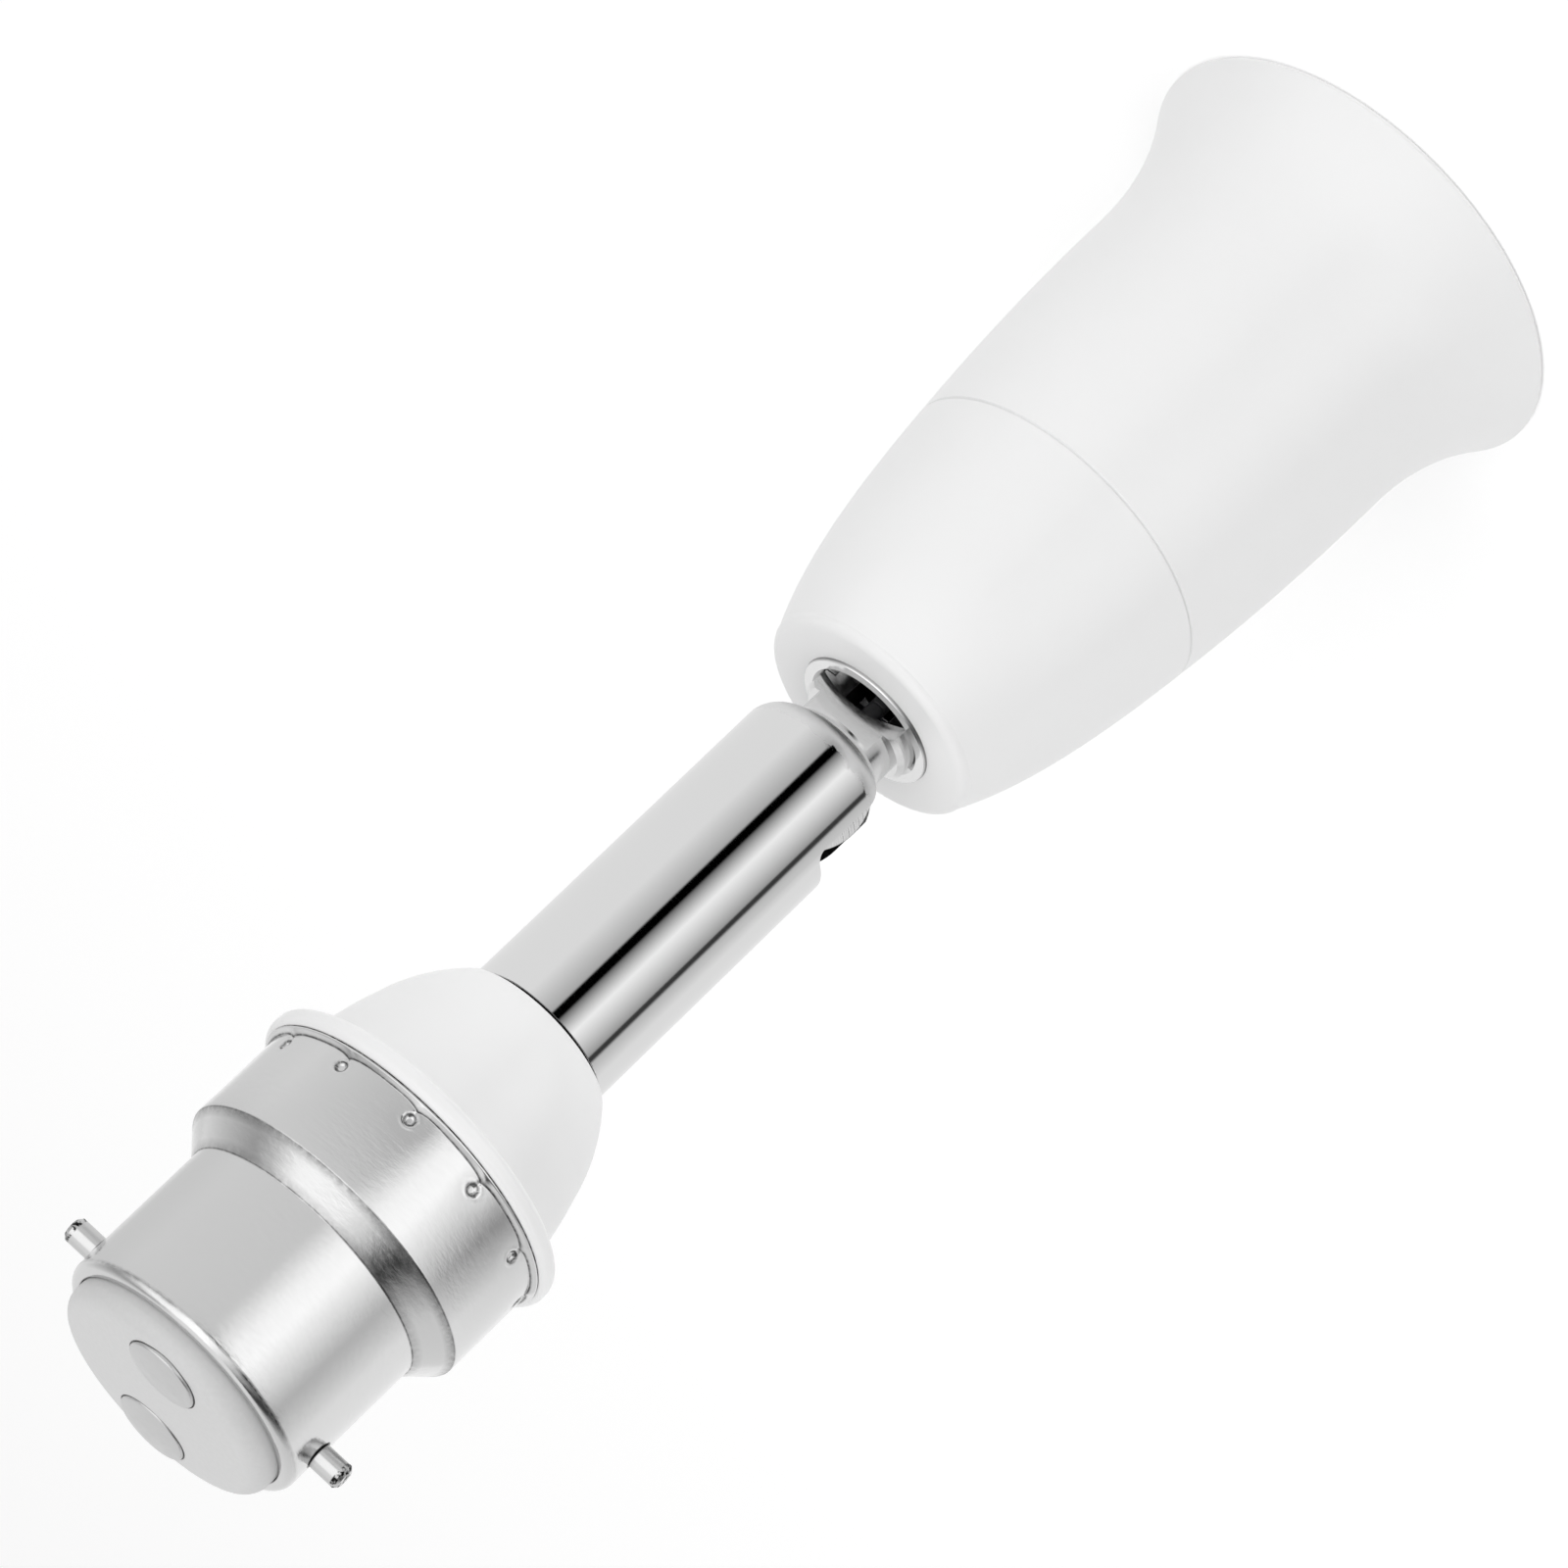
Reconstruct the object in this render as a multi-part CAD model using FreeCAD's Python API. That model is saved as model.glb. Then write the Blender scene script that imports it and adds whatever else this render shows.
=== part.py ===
import FreeCAD, Part
import math
import os

# Lamp socket adapter: a bayonet lamp cap at the top, a bright tube with a ball joint, and a flared
# holder for a screw-in bulb that opens downwards. Heights are measured from the mouth of the bell.

# Fits between the pieces
running_gap = 0.05
seat_gap = 0.02
part_gap = 0.12
loose_gap = 0.18
rivet_gap = 0.2

# Screw shell and insulator of the socket
thread_pitch = 3.62
thread_outer_radius = 13.22
thread_depth = 0.89
thread_ring_points = 12
thread_rings_per_pitch = 6
shell_sheet = 0.3
shell_depth = 18.0
shell_roof_width = 5.33
insulator_thickness = 4.5
insulator_chamfer = 0.4
insulator_rise = 0.6
barrier_height = 4.5
barrier_thickness = 1.6

# Bell of the holder
bell_seam_wall = 0.58
bell_taper = 1.22
bell_flare = 4.0
bell_mouth_wall = 1.7
mouth_edge_radius = 0.55
waist_height = 14.0
waist_to_seam = 22.9
bell_bore_start = 0.3
seam_chamfer = 0.15

# Cap of the holder
holder_cap_length = 21.5
holder_face_inset = 5.28
holder_edge_radius = 0.8
holder_cap_wall = 1.7
holder_floor = 2.0
seam_pull = 0.42
face_pull = 0.26
face_lean = 0.45
spigot_length = 3.4
spigot_wall = 1.2
boss_radius = 2.2
boss_side_gap = 0.58
boss_floor_space = 6.0
boss_web = 1.6
pilot_end = 2.0

# Contacts, rivets and screws inside the holder
tongue_width = 4.5
tongue_sheet = 0.4
tongue_reach = 6.4
tongue_foot_length = 2.2
tongue_root_length = 2.0
tongue_bend_radius = 1.6
tongue_nose_place = -1.6
tongue_nose_length = 1.7
tongue_nose_rise = 0.9
rivet_radius = 0.9
rivet_head_radius = 1.6
rivet_head_height = 0.5
shell_rivet_edge = 2.8
neutral_angle = 180
shell_rivet_angles = (neutral_angle, 50, -50)
insert_screw_angles = (90, -90)
terminal_height = 5.0
terminal_foot = 0.8
terminal_hole_floor = 1.2
terminal_screw_radius = 1.0
terminal_screw_head_radius = 1.7
terminal_screw_head_height = 1.0
driver_slot = 0.5
screw_head_radius = 2.1
screw_head_height = 1.3
screw_head_edge = 0.5
drive_length = 2.8
drive_depth = 0.6
insert_screw_radius = 1.25
insert_screw_length = 11.0

# Entry bush in the floor of the holder
bush_wall = 0.65
bush_flange_width = 0.5
bush_flange = 0.3
bush_lip = 0.4
bush_edge_chamfer = 0.1
bush_bore_chamfer = 0.25

# Swivel stem with its ball
ball_radius = 6.0
neck_radius = 4.05
neck_fillet = 0.8
shoulder_step = 0.85
shoulder_rise = 1.3
shoulder_length = 2.5
shoulder_tube_gap = 0.3
shank_stand = 0.85
stem_chamfer = 0.4
stem_bore_radius = 2.3
stem_flat_wall = 0.3
stem_flat_angle = 115.0
stem_flat_end = 0.2
mouth_window_radius = 9.6
mouth_window_rise = 0.6
mouth_window_depth = 1.2
washer_thickness = 0.8
washer_radius = 6.4
spring_washer_thickness = 1.0
spring_washer_inset = 0.5
spring_washer_split = 0.7
spring_washer_lean = 35
stem_nut_across_flats = 11.0
stem_nut_height = 3.2
nut_face_chamfer = 0.2
nut_corner_drop = 0.5

# Extension tube with the parts that press on the ball
ball_side_gap = 0.1
tube_lip_gap = 0.75
tube_wall = 0.4
tube_bare_length = 33.375
tube_roll_radius = 2.4
tube_end_chamfer = 0.2
entry_groove_width = 0.5
entry_groove_depth = 0.15
entry_groove_drop = 0.05
tube_end_stand = 1.7
slot_side_gap = 0.25
slot_end_gap = 0.15
slot_corner_radius = 0.8
seat_space = 0.1
seat_height = 2.0
seat_bore_radius = 3.0
spring_wire_radius = 0.4
spring_side_gap = 0.8
spring_turns = 5
spring_length = 11.0
spring_sides = 8
spring_steps_per_turn = 12
stop_ring_thickness = 1.0
stop_ring_depth = 0.15
stop_ring_width = 2.45
stop_ring_split = 3.0

# Bayonet cap
cap_sheet = 0.4
cap_skirt_step = 2.12
lip_width = 0.48
lip_bend_radius = 0.35
skirt_length = 8.2
step_length = 3.7
pin_rise = 8.4
pin_end_space = 3.1
cap_edge_radius = 1.0
fold_width = 1.1
pin_radius = 1.05
pin_stand = 2.6
pin_angle = 11.5
pin_chamfer = 0.3
pin_head_step = 0.35
pin_head_height = 0.5
pin_head_gap = 0.15
dent_count = 12
dent_angle = 8.8
dent_rise = 1.5
dent_radius = 0.6
dent_depth = 0.3
dent_sheet = 0.3
cap_plug_stand = 2.2
cap_plug_length = 10.6
cap_plug_edge_radius = 1.5
cap_plug_face_rise = 0.2
cap_plug_corner_bulge = 0.42
cap_plug_skirt_step = 2.2
cap_plug_skirt_wall = 1.6
cap_plug_roof = 4.0
cap_plug_rim = 0.9
cap_plug_rim_step = 0.4
contact_radius = 3.1
contact_side_space = 1.1
contact_sheet = 0.35
contact_set_in = 0.25
contact_recess_gap = 0.08
contact_edge = 0.15
contact_rise = 0.3
contact_tail_radius = 1.1
contact_tail_length = 5.2

# Collar of the base
flange_stand = 0.95
flange_step = 2.32
flange_thickness = 1.6
flange_edge_radius = 0.6
flange_root = 0.25
flange_root_rise = 0.4
collar_length = 11.8
collar_taper = 1.19
collar_wall = 1.06
collar_hole_wall = 0.75
collar_shoulder_rise = 6.3
collar_floor_rise = 6.8
collar_shoulder_bulge = 0.42
collar_top_hollow = 0.12
collar_chamfer = 0.4
collar_spigot_wall = 1.3
collar_spigot_length = 6.5
crimp_groove_height = 1.9
tube_washer_side_gap = 0.9
tube_nut_corner_wall = 2.5
tube_nut_corner_gap = 0.5
tube_nut_height = 3.0

# Wires
wire_radius = 0.75
wire_side_step = 0.85

# Widths and places worked out from the sizes above, from the socket outwards
thread_inner_radius = thread_outer_radius - thread_depth
shell_opening_radius = thread_inner_radius - shell_roof_width
bell_bore_radius = thread_outer_radius + shell_sheet + loose_gap
seam_radius = bell_bore_radius + bell_seam_wall
waist_radius = seam_radius + bell_taper
mouth_radius = waist_radius + bell_flare
holder_face_radius = seam_radius - holder_face_inset
spigot_radius = bell_bore_radius - part_gap
spigot_bore_radius = spigot_radius - spigot_wall
insulator_radius = spigot_bore_radius - loose_gap
boss_pitch_radius = spigot_bore_radius - boss_side_gap - boss_radius
shell_rivet_pitch_radius = shell_opening_radius + shell_rivet_edge
tongue_rivet_place = barrier_thickness / 2 + rivet_head_radius
terminal_near_side = tongue_rivet_place + rivet_head_radius + rivet_gap
terminal_side = shell_rivet_pitch_radius - rivet_head_radius - terminal_near_side
terminal_pitch_radius = terminal_near_side + terminal_side / 2
terminal_screw_rise = terminal_foot + rivet_head_height + rivet_gap + terminal_screw_head_radius
stem_shoulder_radius = neck_radius + shoulder_step
bush_barrel_radius = stem_shoulder_radius + running_gap + bush_wall
bush_flange_radius = bush_barrel_radius + bush_flange_width
stem_flat_distance = stem_bore_radius + stem_flat_wall
tube_bore_radius = ball_radius + ball_side_gap
tube_radius = tube_bore_radius + tube_wall
tube_lip_radius = neck_radius + tube_lip_gap
tube_roll_centre = tube_radius - tube_roll_radius
tube_roll_reach = (tube_lip_radius - tube_roll_centre) / (tube_roll_radius - tube_wall)
tube_roll_turn = math.acos(tube_roll_reach)
tube_roll_drop = tube_roll_radius * math.sin(tube_roll_turn)
ball_lip_drop = math.sqrt(ball_radius ** 2 - tube_lip_radius ** 2)
ball_cover = ball_lip_drop + tube_wall * math.sin(tube_roll_turn)
slot_width = 2 * (neck_radius + slot_side_gap)
spring_coil_radius = tube_bore_radius - spring_side_gap - spring_wire_radius
tube_nut_across_flats = 2 * (tube_radius + tube_nut_corner_wall) * math.cos(math.radians(30))
collar_cavity_radius = tube_radius + tube_nut_corner_wall + tube_nut_corner_gap
tube_washer_radius = collar_cavity_radius - tube_washer_side_gap
collar_hole_edge_radius = tube_radius + running_gap + collar_hole_wall
collar_shoulder_radius = collar_cavity_radius + collar_wall
collar_top_radius = collar_shoulder_radius + collar_taper
flange_radius = collar_top_radius + flange_step
cap_skirt_radius = flange_radius - flange_stand
cap_radius = cap_skirt_radius - cap_skirt_step
lip_radius = cap_skirt_radius + lip_width
fold_radius = cap_radius - fold_width
pin_tip_radius = cap_radius + pin_stand
cap_plug_skirt_radius = cap_radius - cap_plug_skirt_step
cap_plug_bore_radius = cap_plug_skirt_radius - cap_plug_skirt_wall
contact_spacing = 2 * (fold_radius - contact_side_space - contact_radius)
contact_angle = pin_angle + 90.0

# Heights, from the mouth of the bell upwards
seam_height = waist_height + waist_to_seam
disc_high = seam_height + insulator_rise
disc_low = disc_high - insulator_thickness
holder_face_height = seam_height + holder_cap_length
holder_floor_height = holder_face_height - holder_floor
bush_face = holder_face_height + bush_flange
bush_inner_face = holder_floor_height - bush_lip
stem_shoulder_height = bush_face + shoulder_rise
shoulder_end = stem_shoulder_height - shoulder_length
stem_washer_top = bush_inner_face - running_gap
spring_washer_top = stem_washer_top - washer_thickness
stem_nut_top = spring_washer_top - spring_washer_thickness
shank_end = stem_nut_top - stem_nut_height - shank_stand
ball_height = stem_shoulder_height + tube_radius + shoulder_tube_gap
tube_low_end = ball_height - ball_cover
slot_top_height = ball_height + neck_radius + slot_end_gap
seat_low = slot_top_height + seat_space
seat_top = seat_low + seat_height
stop_ring_low = seat_top + spring_length
collar_low_end = tube_low_end + tube_bare_length
collar_shoulder_height = collar_low_end + collar_shoulder_rise
collar_floor_height = collar_low_end + collar_floor_rise
collar_top_height = collar_low_end + collar_length
tube_nut_low = collar_floor_height + washer_thickness
tube_high_end = tube_nut_low + tube_nut_height + tube_end_stand
flange_low = collar_top_height + flange_root_rise
flange_high = flange_low + flange_thickness
dent_height = flange_high + dent_rise
skirt_top_height = flange_high + skirt_length
step_top_height = skirt_top_height + step_length
pin_height = step_top_height + pin_rise
cap_end_height = pin_height + pin_end_space
cap_plug_top = cap_end_height + cap_plug_stand
cap_plug_bottom = cap_plug_top - cap_plug_length
contact_low = cap_plug_top - contact_set_in


def at_angle(radius, angle, height=0.0):
    """Point at a radius and an angle about the upright axis."""
    turn = math.radians(angle)
    return FreeCAD.Vector(radius * math.cos(turn), radius * math.sin(turn), height)


def section(start, *steps):
    """Closed face in the plane of the axis. A step is a point for a straight edge, or a pair of
    points, one on the way and one at the end, for an arc."""
    def lift(p):
        return FreeCAD.Vector(p[0], 0, p[1])

    edges = []
    here = start
    for step in steps + (start,):
        if isinstance(step[0], tuple):
            edges.append(Part.Arc(lift(here), lift(step[0]), lift(step[1])).toShape())
            here = step[1]
        elif math.dist(here, step) > 1e-6:
            edges.append(Part.LineSegment(lift(here), lift(step)).toShape())
            here = step
    return Part.Face(Part.Wire(edges))


def turned(start, *steps):
    """Solid of revolution about the upright axis."""
    return section(start, *steps).revolve(FreeCAD.Vector(0, 0, 0), FreeCAD.Vector(0, 0, 1), 360)


def on_arc(centre, radius, angle):
    """Point of a circle in the plane of the axis, the angle measured from outwards to upwards."""
    turn = math.radians(angle)
    return (centre[0] + radius * math.cos(turn), centre[1] + radius * math.sin(turn))


def dome(edge, top):
    """Step from a point at the rim up to the axis, along a circle centred on the axis."""
    rise = top - edge[1]
    big = (edge[0] ** 2 + rise ** 2) / (2 * rise)
    half = edge[0] / 2
    return ((half, top - big + math.sqrt(big * big - half * half)), (0, top))


def beside(a, b, bulge):
    """Point half way between two points, moved outwards square to the line that joins them."""
    span = math.dist(a, b)
    across = ((b[1] - a[1]) / span, -(b[0] - a[0]) / span)
    return ((a[0] + b[0]) / 2 + bulge * across[0], (a[1] + b[1]) / 2 + bulge * across[1])


def ring(outer, inner, low, high):
    return turned((inner, low), (outer, low), (outer, high), (inner, high))


def cylinder(radius, low, high, x=0.0, y=0.0):
    return Part.makeCylinder(radius, high - low, FreeCAD.Vector(x, y, low))


def box(x0, x1, y0, y1, z0, z1):
    return Part.makeBox(x1 - x0, y1 - y0, z1 - z0, FreeCAD.Vector(x0, y0, z0))


def spun(shape, angle):
    """Copy of a shape turned about the upright axis."""
    copy = shape.copy()
    copy.rotate(FreeCAD.Vector(0, 0, 0), FreeCAD.Vector(0, 0, 1), angle)
    return copy


def save(name, shape):
    shape.exportStep("parts/" + name + ".step")


# The bell is one moulded shell: a gently tapering wall that flares out to the mouth.

def arc_radius(rise, shift):
    """Radius of an arc that starts upright and has moved sideways by shift after a rise."""
    return (rise * rise + shift * shift) / (2 * shift)


def bell_side_radius():
    """Radius of the long arc that joins waist and seam."""
    return arc_radius(seam_height - waist_height, waist_radius - seam_radius)


def bell_outer_radius(height):
    big = bell_side_radius()
    return waist_radius - big + math.sqrt(big * big - (height - waist_height) ** 2)


def make_bell():
    edge = mouth_edge_radius
    flare = arc_radius(waist_height - edge, mouth_radius - waist_radius)
    flare_centre = (waist_radius + flare, waist_height)
    inner_flare = flare + bell_mouth_wall
    low_turn = math.degrees(math.asin((waist_height - edge) / flare))
    outer_mid = on_arc(flare_centre, flare, 180 + low_turn / 2)
    inner_low_turn = math.degrees(math.asin((waist_height - edge) / inner_flare))
    inner_low = on_arc(flare_centre, inner_flare, 180 + inner_low_turn)
    inner_mid = on_arc(flare_centre, inner_flare, 180 + inner_low_turn / 2)
    inner_top = (flare_centre[0] - inner_flare, waist_height)
    mid_height = (waist_height + seam_height) / 2
    outer_lip = (mouth_radius - edge, edge)
    inner_lip = (inner_low[0] + edge, edge)
    return turned(
        (bell_bore_radius, seam_height),
        (seam_radius - seam_chamfer, seam_height),
        (seam_radius, seam_height - seam_chamfer),
        ((bell_outer_radius(mid_height), mid_height), (waist_radius, waist_height)),
        (outer_mid, (mouth_radius, edge)),
        (on_arc(outer_lip, edge, -45), (outer_lip[0], 0)),
        (inner_lip[0], 0),
        (on_arc(inner_lip, edge, -135), inner_low),
        (inner_mid, inner_top),
        (bell_bore_radius, waist_height + bell_bore_start),
    )


# The holder's cap is a second moulded shell. It carries on the line of the bell, closes over the
# socket and ends in a flat floor with a hole for the bush.

def holder_cap_line(inset, top_height, top_radius):
    """Curve that leaves the seam along the bell's own slope and bends in towards the floor."""
    rise = seam_height - waist_height
    seam_lean = rise / math.sqrt(bell_side_radius() ** 2 - rise ** 2)
    length = top_height - seam_height
    start = FreeCAD.Vector(seam_radius - inset, 0, seam_height)
    end = FreeCAD.Vector(top_radius - inset, 0, top_height)
    first = start + FreeCAD.Vector(-seam_lean, 0, 1) * (seam_pull * length)
    last = end - FreeCAD.Vector(-face_lean, 0, 1) * (face_pull * length)
    curve = Part.BezierCurve()
    curve.setPoles([start, first, last, end])
    return curve.toShape()


def revolve_edges(edges):
    face = Part.Face(Part.Wire(edges))
    return face.revolve(FreeCAD.Vector(0, 0, 0), FreeCAD.Vector(0, 0, 1), 360)


def straight(a, b):
    return Part.LineSegment(FreeCAD.Vector(a[0], 0, a[1]), FreeCAD.Vector(b[0], 0, b[1])).toShape()


def make_holder_cap():
    side_end = holder_face_radius + holder_edge_radius
    side_height = holder_face_height - holder_edge_radius
    outer = holder_cap_line(0.0, side_height, side_end)
    edge_mid = on_arc((holder_face_radius, side_height), holder_edge_radius, 45)
    edge = Part.Arc(
        FreeCAD.Vector(side_end, 0, side_height),
        FreeCAD.Vector(edge_mid[0], 0, edge_mid[1]),
        FreeCAD.Vector(holder_face_radius, 0, holder_face_height),
    ).toShape()
    body = revolve_edges([
        outer,
        edge,
        straight((holder_face_radius, holder_face_height), (0, holder_face_height)),
        straight((0, holder_face_height), (0, seam_height)),
        straight((0, seam_height), (seam_radius, seam_height)),
    ])
    inner_end = side_end - holder_cap_wall
    inner = holder_cap_line(holder_cap_wall, side_height, side_end)
    hollow = revolve_edges([
        inner,
        straight((inner_end, side_height), (0, side_height)),
        straight((0, side_height), (0, seam_height)),
        straight((0, seam_height), (seam_radius - holder_cap_wall, seam_height)),
    ])
    hollow = hollow.common(cylinder(seam_radius, seam_height - 1, holder_floor_height))
    spigot_low = seam_height - spigot_length
    spigot = ring(spigot_radius, spigot_bore_radius, spigot_low, disc_high)
    hollow = hollow.cut(spigot)
    shell = body.cut(hollow).fuse(spigot)
    groove = ring(seam_radius + 1, seam_radius - seam_chamfer, seam_height - 1, seam_height + seam_chamfer)
    shell = shell.cut(groove)
    boss_high = holder_floor_height - boss_floor_space
    half_web = boss_web / 2
    for angle in insert_screw_angles:
        centre = at_angle(boss_pitch_radius, angle)
        boss = cylinder(boss_radius, disc_high, boss_high, centre.x, centre.y)
        web = box(boss_pitch_radius, seam_radius, -half_web, half_web, disc_high + 1, boss_high)
        boss = boss.fuse(spun(web, angle)).common(body)
        pilot = cylinder(insert_screw_radius, disc_high, boss_high - pilot_end, centre.x, centre.y)
        shell = shell.fuse(boss).cut(pilot)
    hole = cylinder(bush_barrel_radius, holder_floor_height - 1, holder_face_height + 1)
    return shell.cut(hole).removeSplitter()


# The bush is a turned metal ring, swaged into the floor of the holder. Its bore is stepped, so that
# the stem's shoulder seats in it from outside.

def make_bush():
    step = shoulder_end - running_gap
    bore = stem_shoulder_radius + running_gap
    return turned(
        (neck_radius + running_gap, bush_inner_face),
        (bush_flange_radius, bush_inner_face),
        (bush_flange_radius, holder_floor_height),
        (bush_barrel_radius, holder_floor_height),
        (bush_barrel_radius, holder_face_height),
        (bush_flange_radius, holder_face_height),
        (bush_flange_radius - bush_edge_chamfer, bush_face),
        (bore + bush_bore_chamfer, bush_face),
        (bore, bush_face - bush_bore_chamfer),
        (bore, step),
        (neck_radius + running_gap, step),
    )


# The screw shell is rolled from thin sheet. Its wall is one waved helical surface, the round thread
# of a lamp socket, and its roof is a flat ring that lies against the insulator.

def thread_ring(offset, height):
    """Closed curve of the wall at one height: the radius is a wave that turns once a pitch."""
    mean = (thread_outer_radius + thread_inner_radius) / 2 + offset
    wave = (thread_outer_radius - thread_inner_radius) / 2
    points = []
    for step in range(thread_ring_points):
        turn = 2 * math.pi * step / thread_ring_points
        radius = mean + wave * math.cos(2 * math.pi * height / thread_pitch - turn)
        points.append(FreeCAD.Vector(radius * math.cos(turn), radius * math.sin(turn), height))
    curve = Part.BSplineCurve()
    curve.interpolate(Points=points, PeriodicFlag=True)
    return Part.Wire([curve.toShape()])


def thread_core(offset, low, high):
    """Solid inside the waved surface, lofted through curves a few degrees of thread apart."""
    count = int(round((high - low) / thread_pitch * thread_rings_per_pitch))
    rings = [thread_ring(offset, low + (high - low) * step / count) for step in range(count + 1)]
    return Part.makeLoft(rings, True, True)


def make_screw_shell():
    low = disc_low - shell_depth
    roof_low = disc_low - shell_sheet
    outer = thread_core(shell_sheet, low, disc_low)
    inner = thread_core(0.0, low, disc_low)
    wall = outer.cut(inner)
    roof = outer.common(ring(bell_bore_radius + 1, shell_opening_radius, roof_low, disc_low))
    shell = wall.common(cylinder(bell_bore_radius + 1, low, roof_low)).fuse(roof)
    for angle in shell_rivet_angles:
        spot = at_angle(shell_rivet_pitch_radius, angle)
        shell = shell.cut(cylinder(rivet_radius, roof_low - 1, disc_low + 1, spot.x, spot.y))
    for angle in insert_screw_angles:
        spot = at_angle(boss_pitch_radius, angle)
        shell = shell.cut(cylinder(insert_screw_radius, roof_low - 1, disc_low + 1, spot.x, spot.y))
    return shell


# The socket insulator is a moulded disc with a barrier between the two terminals.

def make_socket_insulator():
    edge = insulator_chamfer
    disc = turned(
        (0, disc_low),
        (insulator_radius - edge, disc_low),
        (insulator_radius, disc_low + edge),
        (insulator_radius, disc_high - edge),
        (insulator_radius - edge, disc_high),
        (0, disc_high),
    )
    half = barrier_thickness / 2
    reach = boss_pitch_radius - boss_radius - part_gap
    barrier = box(-half, half, -reach, reach, disc_high - 1, disc_high + barrier_height)
    disc = disc.fuse(barrier)
    for angle in shell_rivet_angles:
        spot = at_angle(shell_rivet_pitch_radius, angle)
        disc = disc.cut(cylinder(rivet_radius, disc_low - 1, disc_high + 1, spot.x, spot.y))
    for angle in insert_screw_angles:
        spot = at_angle(boss_pitch_radius, angle)
        disc = disc.cut(cylinder(insert_screw_radius, disc_low - 1, disc_high + 1, spot.x, spot.y))
    return disc.cut(cylinder(rivet_radius, disc_low - 1, disc_high + 1, tongue_rivet_place, 0))


def rivet(x, y, low, high):
    """Round rivet with a flat head outside each of the two heights."""
    shank = cylinder(rivet_radius, low, high, x, y)
    low_head = cylinder(rivet_head_radius, low - rivet_head_height, low, x, y)
    high_head = cylinder(rivet_head_radius, high, high + rivet_head_height, x, y)
    return shank.fuse(low_head).fuse(high_head).removeSplitter()


def make_shell_rivets():
    rivets = []
    for angle in shell_rivet_angles:
        spot = at_angle(shell_rivet_pitch_radius, angle)
        high = disc_high
        if angle == neutral_angle:
            high = disc_high + terminal_foot
        rivets.append(rivet(spot.x, spot.y, disc_low - shell_sheet, high))
    return Part.makeCompound(rivets)


def make_tongue_rivet():
    return rivet(tongue_rivet_place, 0, disc_low - tongue_sheet, disc_high + terminal_foot)


# The centre contact is a spring tongue: a flat foot under the insulator, a round bend, and a blade
# that slopes to the middle of the socket and ends in a rounded nose.

def make_centre_contact():
    sheet = tongue_sheet
    high = disc_low
    bend = tongue_bend_radius
    tail = tongue_rivet_place - tongue_foot_length
    root = tongue_rivet_place + tongue_root_length
    low = high - 2 * bend
    nose = (tongue_nose_place, high - tongue_reach)
    tip = (nose[0] - tongue_nose_length, nose[1] + tongue_nose_rise)
    slant = sheet * math.sqrt(0.5)
    tip_back = (tip[0] + slant, tip[1] + slant)
    nose_back = (nose[0], nose[1] + sheet)
    outline = section(
        (tail, high),
        (root, high),
        ((root + bend, high - bend), (root, low)),
        nose,
        (beside(nose, tip, -slant), tip),
        tip_back,
        (beside(tip_back, nose_back, slant), nose_back),
        (root, low + sheet),
        ((root + bend - sheet, high - bend), (root, high - sheet)),
        (tail, high - sheet),
    )
    outline.translate(FreeCAD.Vector(0, -tongue_width / 2, 0))
    tongue = outline.extrude(FreeCAD.Vector(0, tongue_width, 0))
    return tongue.cut(cylinder(rivet_radius, high - sheet - 1, high + 1, tongue_rivet_place, 0))


# Each terminal is a brass block on a riveted foot, with an upright hole for the wire and a screw
# that clamps it from the side.

def make_terminal(foot_end, rivet_place, angle):
    half = terminal_side / 2
    near = terminal_pitch_radius - half
    far = terminal_pitch_radius + half
    top = disc_high + terminal_height
    block = box(near, far, -half, half, disc_high, top)
    foot_low = min(near, foot_end)
    foot_high = max(far, foot_end)
    foot = box(foot_low, foot_high, -half, half, disc_high, disc_high + terminal_foot)
    body = block.fuse(foot).removeSplitter()
    hole_low = disc_high + terminal_hole_floor
    wire_hole = cylinder(wire_radius + running_gap, hole_low, top + 1, terminal_pitch_radius, 0)
    rivet_hole = cylinder(rivet_radius, disc_high - 1, top, rivet_place, 0)
    screw_hole = Part.makeCylinder(
        terminal_screw_radius,
        half + 1,
        FreeCAD.Vector(terminal_pitch_radius, 0, disc_high + terminal_screw_rise),
        FreeCAD.Vector(1, 0, 0),
    )
    return spun(body.cut(wire_hole).cut(rivet_hole).cut(screw_hole), angle)


def make_terminal_screw(angle):
    height = disc_high + terminal_screw_rise
    along = FreeCAD.Vector(1, 0, 0)
    start = terminal_pitch_radius + wire_radius + running_gap
    far = terminal_pitch_radius + terminal_side / 2
    shank_start = FreeCAD.Vector(start, 0, height)
    head_start = FreeCAD.Vector(far, 0, height)
    shank = Part.makeCylinder(terminal_screw_radius, far - start, shank_start, along)
    head = Part.makeCylinder(terminal_screw_head_radius, terminal_screw_head_height, head_start, along)
    half = driver_slot / 2
    depth = far + terminal_screw_head_height - driver_slot
    reach = terminal_screw_head_radius + 1
    slot = box(depth, depth + 1, -half, half, height - reach, height + reach)
    return spun(shank.fuse(head).removeSplitter().cut(slot), angle)


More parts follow.
